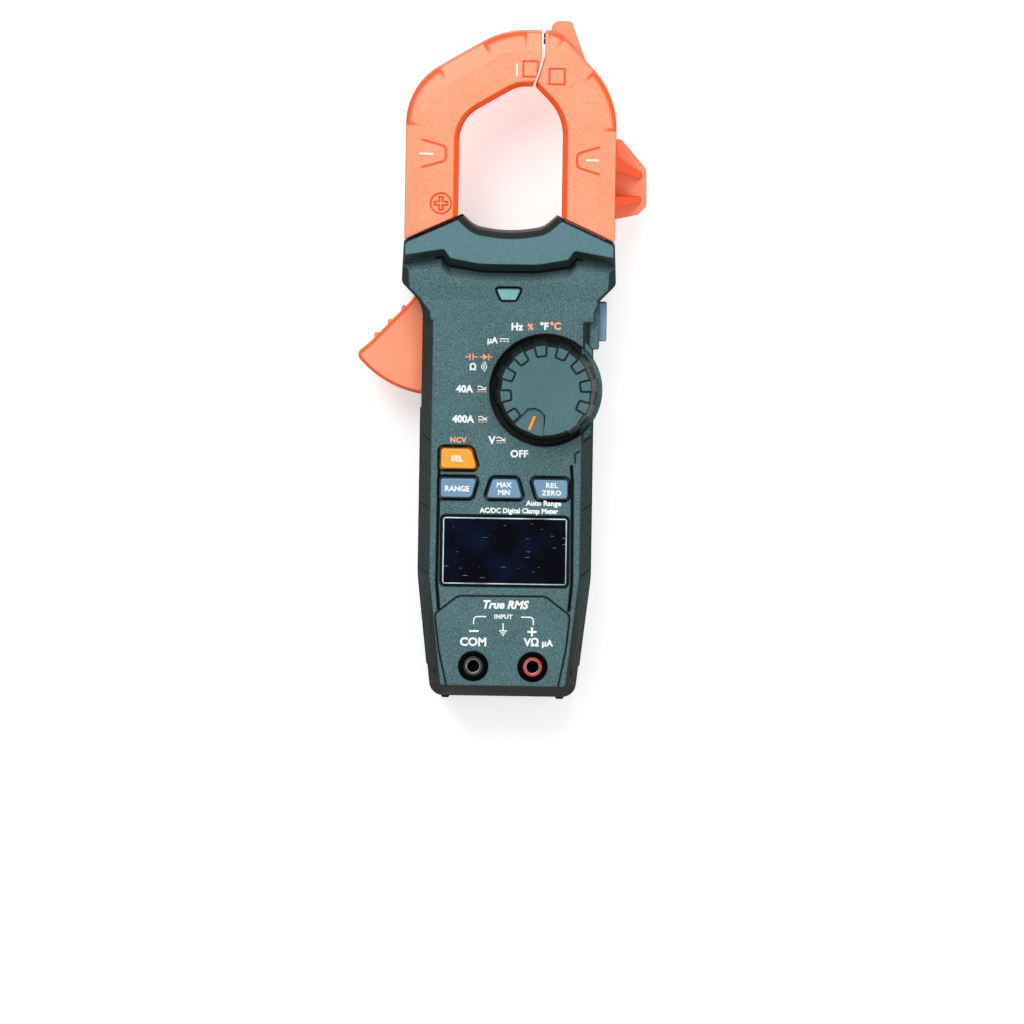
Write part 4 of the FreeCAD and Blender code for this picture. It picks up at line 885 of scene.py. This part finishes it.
@dataclass
class Printing:
    """Every legend on the panel and the keys, and the small drawn signs.

    Attributes:
        panel_z: Level of the panel.
        key_z: Level of the keys' tops.
        inks: White and orange ink.
        legends: Words and unit signs on the panel.
    """

    inks: dict[bool, bpy.types.Material]
    panel_z: float = 30.0
    key_z: float = 30.9
    legends: list[Legend] = field(default_factory=lambda: [
        Legend("print_off", "OFF", (4.2, -30.6), 2.3, spread=1.04),
        Legend("print_volts", "V", (-4.6, -26.4), 2.4),
        Legend("print_high_amps", "400A", (-14.0, -19.7), 2.3),
        Legend("print_low_amps", "40A", (-13.7, -10.0), 2.3),
        Legend("print_ohms", "Ω", (-11.1, -2.8), 2.1),
        Legend("print_micro_amps", "µA", (-5.0, 5.9), 2.0),
        Legend("print_hertz", "Hz", (2.85, 10.2), 2.35, spread=1.04),
        Legend("print_percent", "%", (7.2, 10.35), 2.0, orange=True),
        Legend("print_fahrenheit", "°F", (11.6, 10.5), 2.3),
        Legend("print_celsius", "°C", (15.2, 10.6), 2.3, orange=True),
        Legend("print_no_contact", "NCV", (-15.5, -26.2), 1.75, orange=True, spread=1.08),
        Legend("print_auto_range", "Auto Range", (12.3, -46.1), 1.65, spread=1.04),
        Legend("print_kind", "AC/DC Digital Clamp Meter", (4.4, -48.6), 1.6, stretch=0.98),
        Legend("print_true_rms", "True RMS", (0.3, -79.3), 2.6, slant=0.25),
        Legend("print_input", "INPUT", (-0.1, -82.6), 1.4, spread=1.1),
        Legend("print_common", "COM", (-9.6, -91.4), 2.7, spread=1.02),
        Legend("print_volt_ohm", "VΩ", (9.1, -91.2), 2.5),
        Legend("print_micro_jack", "µA", (14.1, -91.2), 2.1),
    ])

    def strokes(self) -> dict[str, tuple[bool, list[bpy.types.Object]]]:
        """The signs that are drawn rather than lettered, as closed ribbons.

        Returns:
            Piece name to its ink and its ribbons.
        """
        low, high = self.panel_z - 0.01, self.panel_z + PRINT_MM
        signs: dict[str, tuple[bool, list[bpy.types.Object]]] = {}

        def line(run: list[Point], width: float = 0.42, closed: bool = False) -> bpy.types.Object:
            """A ribbon of ink on the panel."""
            return stroke("ink", run, width, low, high, closed)

        waves, bars = [], []
        for x, y in ((-1.7, -25.3), (-7.7, -18.7), (-8.1, -9.0)):
            tilde = [(x - 1.45 + 2.9 * i / 12,
                      y + 0.65 + 0.36 * math.sin(2 * math.pi * i / 12)) for i in range(13)]
            waves += [line(tilde, 0.34), line([(x - 1.45, y - 0.1), (x + 1.45, y - 0.1)], 0.32)]
            bars += [line([(x - 1.45 + 1.1 * i, y - 0.8), (x - 0.75 + 1.1 * i, y - 0.8)],
                          0.32) for i in range(3)]
        signs["print_wave_signs"] = (False, waves)
        signs["print_wave_dots"] = (True, bars)
        x, y = -1.1, 7.0
        signs["print_direct_sign"] = (False, [line([(x - 1.5, y + 0.3), (x + 1.5, y + 0.3)], 0.32)] + [
            line([(x - 1.5 + 1.15 * i, y - 0.5), (x - 0.8 + 1.15 * i, y - 0.5)], 0.32) for i in range(3)])
        signs["print_beeper"] = (False, [
            stroke("ink", arc((-8.9, -1.7), r, -50, 50, 8), 0.32, low, high) for r in (0.7, 1.4, 2.1)])
        y = 1.4
        signs["print_capacitor"] = (True, [
            line([(-13.6, y), (-12.3, y)], 0.36), line([(-12.1, y - 1.0), (-12.1, y + 1.0)], 0.36),
            line([(-11.1, y - 1.0), (-11.1, y + 1.0)], 0.36), line([(-10.9, y), (-9.7, y)], 0.36)])
        signs["print_diode"] = (True, [
            line([(-8.8, y), (-7.9, y)], 0.36),
            prism("ink", [(-7.9, y - 1.0), (-6.3, y), (-7.9, y + 1.0)], low, high),
            line([(-6.1, y - 1.0), (-6.1, y + 1.0)], 0.36), line([(-5.9, y), (-5.0, y)], 0.36)])
        bracket = eased_corners([(-9.6, -84.5), (-9.6, -82.0, 1.2), (-5.6, -82.0)])
        signs["print_bracket"] = (False, [line(bracket, 0.4), line([(-x, y) for x, y in bracket], 0.4)])
        signs["print_minus"] = (False, [line([(-11.0, -86.7), (-7.9, -86.7)], 0.6)])
        signs["print_plus"] = (False, [prism("ink", plus_outline((9.2, -86.7), 1.5, 0.32), low, high)])
        signs["print_earth"] = (False, [
            line([(-0.1, -84.0), (-0.1, -86.3)], 0.4), line([(-1.4, -86.5), (1.2, -86.5)], 0.4),
            line([(-0.9, -87.2), (0.7, -87.2)], 0.4), line([(-0.45, -87.9), (0.25, -87.9)], 0.4)])
        return signs

    def build(self) -> None:
        """Make every legend and sign."""
        for legend in self.legends:
            legend.build(self.panel_z, Body.CASE.value, self.inks)
        keys = [
            (Body.SEL, Legend("print_sel", "SEL", (-15.8, -32.2), 1.85, bold=0.05, spread=1.05)),
            (Body.RANGE, Legend("print_range", "RANGE", (-15.6, -41.8), 1.75, bold=0.05)),
            (Body.MAX_MIN, Legend("print_max", "MAX", (-0.55, -40.3), 1.6, bold=0.05)),
            (Body.MAX_MIN, Legend("print_min", "MIN", (-0.5, -42.75), 1.6, bold=0.05)),
            (Body.ZERO, Legend("print_rel", "REL", (14.8, -40.3), 1.6, bold=0.05, spread=1.15)),
            (Body.ZERO, Legend("print_zero", "ZERO", (14.8, -42.7), 1.6, bold=0.05, spread=1.15)),
        ]
        for body, legend in keys:
            legend.build(self.key_z, body.value, self.inks)
        for name, (orange, parts) in self.strokes().items():
            item = joined(name, parts)
            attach(item, Body.CASE.value)
            dress(item, self.inks[orange])
        LOG.info("printing: %d legends", len(self.legends) + len(keys))


# ---------------------------------------------------------------- case
@dataclass
class Case:
    """The front shell with its engraved lines, wells, cove and chamfered neck.

    Attributes:
        panel_z: Level of the panel.
        shoulder_z: Level of the shoulder below the head plate.
        groove_depth: Depth of the engraved lines.
    """

    panel_z: float = 30.0
    shoulder_z: float = 31.2
    groove_depth: float = 0.45

    def panel_lines(self) -> list[bpy.types.Object]:
        """Cutters of the panel's frame, the long grooves and the flanks' cuts."""
        frame_line = [(-17.6, -106.4), (-20.7, -92.9), (-22.2, -81.4, 2), (-14.7, -75.5, 3), (13.4, -75.3, 3),
                      (21.3, -81.3, 2), (20.1, -92.6), (17.4, -106.4)]
        tools = [groove(eased_corners(frame_line), 0.55, self.groove_depth, self.panel_z)]
        for side, top_y in ((-1, -29.0), (1, -33.0)):
            run = [(side * 21.0, top_y), (side * 21.4, top_y - 5), (side * 21.7, -71.0), (side * 20.9, -80.0)]
            tools.append(groove(run, 1.0, 0.9, self.panel_z))
            for y in (-24.5, -46.5, -67.5):
                tools.append(stroke("tool", [(side * 27.9, y + 1.4), (side * 24.4, y - 1.2)], 0.4,
                                    [24.3, 29.0], self.panel_z + 2))
        tools.append(groove([(23.6, -28.3), (22.1, -29.4), (22.2, -32.4)], 0.5, 0.4, self.panel_z))
        return tools

    def cove(self) -> bpy.types.Object:
        """Cutter of the cove below the head plate, deepest at the plate's wall."""
        wall = [(8.0, 29.3), (10.5, 29.6), (19.15, 31.0), (21.6, 33.8), (36.0, 31.2)]
        lip = [(8.0, 25.6), (10.5, 25.8), (18.6, 26.7), (22.0, 29.4), (36.0, 28.0)]
        steps = ((0.0, 1.9), (0.55, 0.7), (0.8, 0.25), (1.0, -0.04), (1.0, -0.3), (0.0, -0.3))
        sections = []
        for upper, lower in zip(wall, lip):
            top, foot = Vector(upper), Vector(lower)
            sections.append([(*top.lerp(foot, share), self.shoulder_z - depth) for share, depth in steps])
        mirror = [[(-x, y, z) for x, y, z in section] for section in reversed(sections)]
        return swept("tool", mirror + sections)

    def neck_edges(self) -> list[bpy.types.Object]:
        """Cutters of the broad chamfers where the head narrows to the grip."""
        rim = [((34.4, 30.0), (32.0, 30.0), 31.2), ((34.4, 25.5), (32.0, 25.5), 31.2),
               ((34.4, 22.6), (31.8, 23.6), 30.85), ((30.6, 18.2), (28.0, 19.8), 30.05)]
        left_end = [((27.7, 14.9), (25.0, 15.8), 30.0), ((27.7, 9.0), (24.2, 9.0), 30.0)]
        tools = []
        for side, run in ((-1, rim + left_end), (1, rim)):
            tools.append(swept("tool", [
                [(side * outer[0], outer[1], level - 2.0), (side * inner[0], inner[1], level + 0.04),
                 (side * inner[0], inner[1], level + 0.5), (side * outer[0], outer[1], level + 0.5)]
                for outer, inner, level in run]))
        return tools

    def wells(self) -> list[bpy.types.Object]:
        """Cutting rings that widen the gap round each key and the lens to a well, which the case finish
        paints with near-black painted shade.
        """
        tools = []
        for node, width, depth in (("sel_button", 0.75, 1.3), ("range_button", 0.75, 1.3),
                                   ("max_min_button", 0.75, 1.3), ("zero_button", 0.75, 1.3),
                                   ("indicator_lens", 0.45, 0.6), ("display_window", 0.85, 1.1)):
            gap = 0.08 if node == "display_window" else 0.25
            ring = grown(plan_outline(node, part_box(node)[1].z / MM - 1.5), gap + width / 2)
            tools.append(stroke("tool", ring, width, self.panel_z - depth, self.panel_z + 1, True))
        return tools

    def build(self, materials: dict[str, bpy.types.Material]) -> None:
        """Cut the front shell's lines and recesses, and dress it.

        Args:
            materials: Material of each record slot.
        """
        front = copy_of_node("front_shell", "front_case", Body.CASE.value)
        carve(front, self.panel_lines() + self.wells() + self.neck_edges() + [self.cove()])
        dress(front, materials["case_plastic"])
        LOG.info("case: %s", front.name)


# ---------------------------------------------------------------- jaws
@dataclass
class Jaws:
    """The marks on the two jaw faces, and the ribs at the tip.

    Attributes:
        face_z: Level of the jaw face.
        line: Width of a broad engraved line.
        fine_line: Width of a fine engraved line.
        depth: Depth of an engraved line.
    """

    face_z: float = 33.0
    line: float = 0.7
    fine_line: float = 0.5
    depth: float = 0.4

    def left_marks(self) -> list[bpy.types.Object]:
        """Cutting ribbons of the left jaw: thumb pad, square and the plus in its circle."""
        face = self.face_z
        pad_run = [(-29.0, 71.1), (-20.9, 68.9, 1.5), (-20.9, 64.3, 1.5), (-29.0, 62.0)]
        square = [(3.6, 91.7), (8.2, 91.7), (8.2, 96.7), (3.6, 96.7)]
        plus = (-22.2, 50.6)
        return [groove(eased_corners(pad_run), self.line, self.depth, face),
                groove(square, self.fine_line, self.depth, face, True),
                groove(arc(plus, 3.3, 0, 348.75, 31), self.fine_line, self.depth, face, True),
                groove(plus_outline(plus, 2.1, 0.55), self.fine_line, self.depth, face, True)]

    def right_marks(self) -> list[bpy.types.Object]:
        """Cutting ribbons of the right jaw: thumb pad and square."""
        pad_run = [(28.6, 69.4), (21.3, 67.2, 1.5), (21.3, 62.8, 1.5), (28.6, 60.6)]
        square = [(12.0, 89.4), (16.9, 89.4), (16.9, 94.4), (12.0, 94.4)]
        return [groove(eased_corners(pad_run), self.line, self.depth, self.face_z),
                groove(square, self.fine_line, self.depth, self.face_z, True)]

    def build(self, materials: dict[str, bpy.types.Material]) -> None:
        """Cut the marks, add the tip's ribs and the white marks, and dress the shells.

        Args:
            materials: Material of each record slot.
        """
        for name, node, body, tools in (
                ("left_jaw_front_shell", "moving_jaw_front", Body.MOVING_JAW.value, self.left_marks()),
                ("right_jaw_front_shell", "fixed_jaw_front", Body.CASE.value, self.right_marks())):
            shell = copy_of_node(name, node, body)
            carve(shell, tools)
            dress(shell, materials["jaw_plastic"])
            LOG.info("jaws: %s", name)
        ribs = [prism("rib", outline, low, high) for outline, low, high in (
            ([(8.05, 88.9), (8.6, 89.0), (9.55, 91.9), (9.0, 92.0)], 10.2, 32.4),
            ([(9.95, 102.2), (10.5, 102.2), (10.5, 103.4), (9.95, 103.4)], 12.0, 31.2),
            ([(9.95, 104.2), (10.5, 104.2), (10.5, 105.3), (9.95, 105.3)], 12.0, 31.0))]
        tip = joined("tip_interlock_ribs", ribs)
        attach(tip, Body.CASE.value)
        dress(tip, materials["black_plastic"])
        low, high = self.face_z - 0.02, self.face_z + 0.06
        marks = (
            ("left_jaw_white_mark", Body.MOVING_JAW.value, [(-29.3, 66.6), (-25.0, 66.5)]),
            ("right_jaw_white_mark", Body.CASE.value, [(24.2, 65.2), (28.4, 65.2)]),
            ("tip_white_mark", Body.MOVING_JAW.value, [(1.6, 91.9), (1.6, 95.9)]),
        )
        for name, body, run in marks:
            mark = stroke(name, run, 0.55, low, high)
            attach(mark, body)
            dress(mark, materials["white_ink"])


# ---------------------------------------------------------------- dial
@dataclass
class Dial:
    """The selector knob with outlined grip pads and a house-shaped dish round its pointer.

    Attributes:
        face_z: Level of the knob's face.
        step: Degrees between the pads.
        first: Angle of the first pad.
        pads: Number of pads.
    """

    face_z: float = 38.4
    step: float = 30.0
    first: float = -22.5
    pads: int = 9

    def about_axis(self, run: list[Point], degrees: float) -> list[Point]:
        """Turn a run about the knob's axis, from the axis at the origin to its real place."""
        low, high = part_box("dial_rotor")
        middle = (low + high) / 2 / MM
        turn = Matrix.Rotation(math.radians(degrees), 2)
        return [tuple(turn @ Vector(point) + middle.to_2d()) for point in run]

    def pad_lines(self) -> list[bpy.types.Object]:
        """Cutting ribbons round the tops of the grip pads, narrower towards the axis."""
        run = eased_corners([(16.4, -2.15), (11.2, -1.55, 0.5), (11.2, 1.55, 0.5), (16.4, 2.15)], 3)
        return [groove(self.about_axis(run, self.first + self.step * i), 0.65, 0.5, self.face_z)
                for i in range(self.pads)]

    def dish(self) -> list[bpy.types.Object]:
        """Cutters of the house-shaped dish, deepest at its roof, and of the line round the roof."""
        plan = [(-5.2, -14.2), (5.2, -14.2), (2.8, -7.6), (1.0, -6.6), (-1.0, -6.6), (-2.8, -7.6)]
        floor = [self.face_z - 0.22 - 0.83 * (y + 14.2) / 7.6 for _, y in plan]
        roof = [(-3.9, -10.6), (-2.8, -7.6), (-1.0, -6.6), (1.0, -6.6), (2.8, -7.6), (3.9, -10.6)]
        return [prism("tool", self.about_axis(plan, self.first), floor, self.face_z + 0.5),
                groove(self.about_axis(roof, self.first), 0.6, 0.6, self.face_z)]

    def build(self, materials: dict[str, bpy.types.Material]) -> None:
        """Cut the lines and the dish, and dress the knob.

        Args:
            materials: Material of each record slot.
        """
        knob = copy_of_node("selector_knob", "dial_knob", Body.DIAL.value)
        carve(knob, self.pad_lines() + self.dish())
        dress(knob, materials["dial_plastic"])
        LOG.info("dial: %s", knob.name)


# ---------------------------------------------------------------- display
@dataclass
class Display:
    """The window, with its polished bevel.

    Attributes:
        bevel_mm: Width of the bevel.
    """

    bevel_mm: float = 0.5

    def build(self, materials: dict[str, bpy.types.Material]) -> None:
        """Bevel the window's rim and dress it.

        Args:
            materials: Material of each record slot.
        """
        window = copy_of_node("window_pane", "display_window", Body.CASE.value)
        rim = window.modifiers.new("rim", "BEVEL")
        rim.width = self.bevel_mm * MM
        rim.segments = 3
        rim.limit_method = "ANGLE"
        rim.angle_limit = math.radians(50)
        dress(window, materials["window_plastic"])
        LOG.info("display: %s", window.name)


# ---------------------------------------------------------------- everything the CAD nodes keep
@dataclass
class Dressing:
    """Gives each CAD node the material of its record slot."""

    materials: dict[str, bpy.types.Material]

    def build(self) -> None:
        """Assign the materials."""
        slots = {part["node"]: part["material_slot"] for part in frame["record"]["subparts"]}
        for node, item in frame["nodes"].items():
            dress(item, self.materials[slots[node]])
            if not item.hide_render:
                LOG.info("node: %s in %s", node, slots[node])


# ---------------------------------------------------------------- studio
@dataclass
class Studio:
    """Pale floor, soft lights and the camera almost straight above the meter.

    Attributes:
        width_mm: Width of the view on the floor.
        middle: Middle of the view in millimetres.
        turn: How far the meter is turned clockwise in the view, in degrees.
        tilt: How far the camera leans towards the jaws, in degrees.
    """

    width_mm: float = 328.8
    middle: Point = (2.19, -48.8)
    turn: float = 0.9
    tilt: float = 2.0

    def floor(self) -> None:
        """A large pale floor a hair under the meter."""
        low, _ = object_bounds()
        mesh = bpy.data.meshes.new("studio_floor")
        work = bmesh.new()
        bmesh.ops.create_grid(work, x_segments=1, y_segments=1, size=6.0)
        bmesh.ops.translate(work, vec=(0, 0, low.z - 0.0002), verts=work.verts)
        work.to_mesh(mesh)
        work.free()
        item = bpy.data.objects.new("studio_floor", mesh)
        bpy.context.scene.collection.objects.link(item)
        material = bpy.data.materials.new("studio_paper")
        material.use_nodes = True
        tree = material.node_tree
        shader = tree.nodes["Principled BSDF"]
        shader.inputs["Roughness"].default_value = 0.9
        shader.inputs["Base Color"].default_value = linear("#DADADA")
        shader.inputs["Emission Color"].default_value = linear("#FFFFFF")
        shader.inputs["Emission Strength"].default_value = 0.5
        item.data.materials.append(material)
        item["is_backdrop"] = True

    def lamp(self, name: str, place: tuple[float, float, float], size: float, power: float) -> None:
        """A square soft light that faces the meter.

        Args:
            name: Name of the light.
            place: Where it hangs, in metres.
            size: Edge of the square, in metres.
            power: Watts.
        """
        data = bpy.data.lights.new(name, "AREA")
        data.size = size
        data.energy = power
        item = bpy.data.objects.new(name, data)
        item.location = place
        item.rotation_euler = (-Vector(place)).to_track_quat("-Z", "Y").to_euler()
        bpy.context.scene.collection.objects.link(item)

    def camera(self) -> None:
        """The camera above the meter, square to its face but for the slight tilt."""
        data = bpy.data.cameras.new("camera")
        data.type = "ORTHO"
        data.ortho_scale = self.width_mm * MM
        data.clip_end = 10
        item = bpy.data.objects.new("camera", data)
        lean = math.radians(self.tilt)
        swing = math.radians(self.turn)
        out = Vector((0, math.sin(lean), math.cos(lean)))
        item.rotation_euler = (-lean, 0, swing)
        out.rotate(Matrix.Rotation(swing, 3, "Z"))
        item.location = Vector((self.middle[0] * MM, self.middle[1] * MM, 0.015)) + out * 1.2
        bpy.context.scene.collection.objects.link(item)
        bpy.context.scene.camera = item

    def build(self) -> None:
        """Set up floor, lights, world and camera."""
        self.floor()
        self.lamp("key_light", (-0.35, 0.55, 0.9), 0.5, 6.5)
        self.lamp("fill_light", (0.6, -0.3, 0.8), 0.8, 3.2)
        self.lamp("back_light", (0.1, 0.7, 0.5), 0.4, 2.0)
        world = bpy.data.worlds.new("studio_world")
        world.use_nodes = True
        world.node_tree.nodes["Background"].inputs[0].default_value = (1.0, 1.0, 1.0, 1.0)
        sky = world.node_tree
        height = add_node(sky, "ShaderNodeSeparateXYZ",
                          {0: add_node(sky, "ShaderNodeTexCoord").outputs["Generated"]})
        under = add_node(sky, "ShaderNodeMapRange", {0: height.outputs[2], 1: -0.01, 2: 0.0, 3: 1.0, 4: 0.5})
        sky.links.new(under.outputs[0], sky.nodes["Background"].inputs[1])
        bpy.context.scene.world = world
        bpy.context.scene.view_settings.view_transform = "Standard"
        self.camera()
        LOG.info("studio: floor, lights, camera")


def slot_materials() -> dict[str, bpy.types.Material]:
    """Build the material of every record slot, and the two inks."""
    finishes = {
        "case_plastic": CASE_NYLON, "grip_rubber": GRIP_RUBBER, "jaw_plastic": JAW_ABS,
        "dial_plastic": DIAL_ABS,
        "orange_plastic": SEL_KEY, "blue_grey_plastic": BLUE_KEY, "black_plastic": BLACK_ABS,
        "red_plastic": RED_ABS, "grey_plastic": GREY_ABS, "window_plastic": WINDOW_ACRYLIC,
        "lens_plastic": LENS_ACRYLIC, "lcd_glass": LCD_GLASS, "backlight": DIFFUSER, "elastomer": SILICONE,
        "board": BOARD, "steel": ZINC_STEEL, "core_steel": CORE_STEEL, "bronze": BRONZE, "nickel": NICKEL,
        "cell_jacket": CELL_SLEEVE, "white_ink": WHITE_INK, "orange_ink": ORANGE_INK, "pointer": POINTER_ABS,
    }
    return {name: finish.build() for name, finish in finishes.items()}


def main() -> None:
    """Build the classes in order."""
    logging.basicConfig(level=logging.INFO, format="%(name)s: %(message)s")
    materials = slot_materials()
    Case().build(materials)
    Jaws().build(materials)
    Dial().build(materials)
    Display().build(materials)
    Printing({False: materials["white_ink"], True: materials["orange_ink"]}).build()
    Dressing(materials).build()
    dress(frame["nodes"]["dial_pointer"], materials["pointer"])
    Studio().build()


if __name__ == "__main__":
    main()
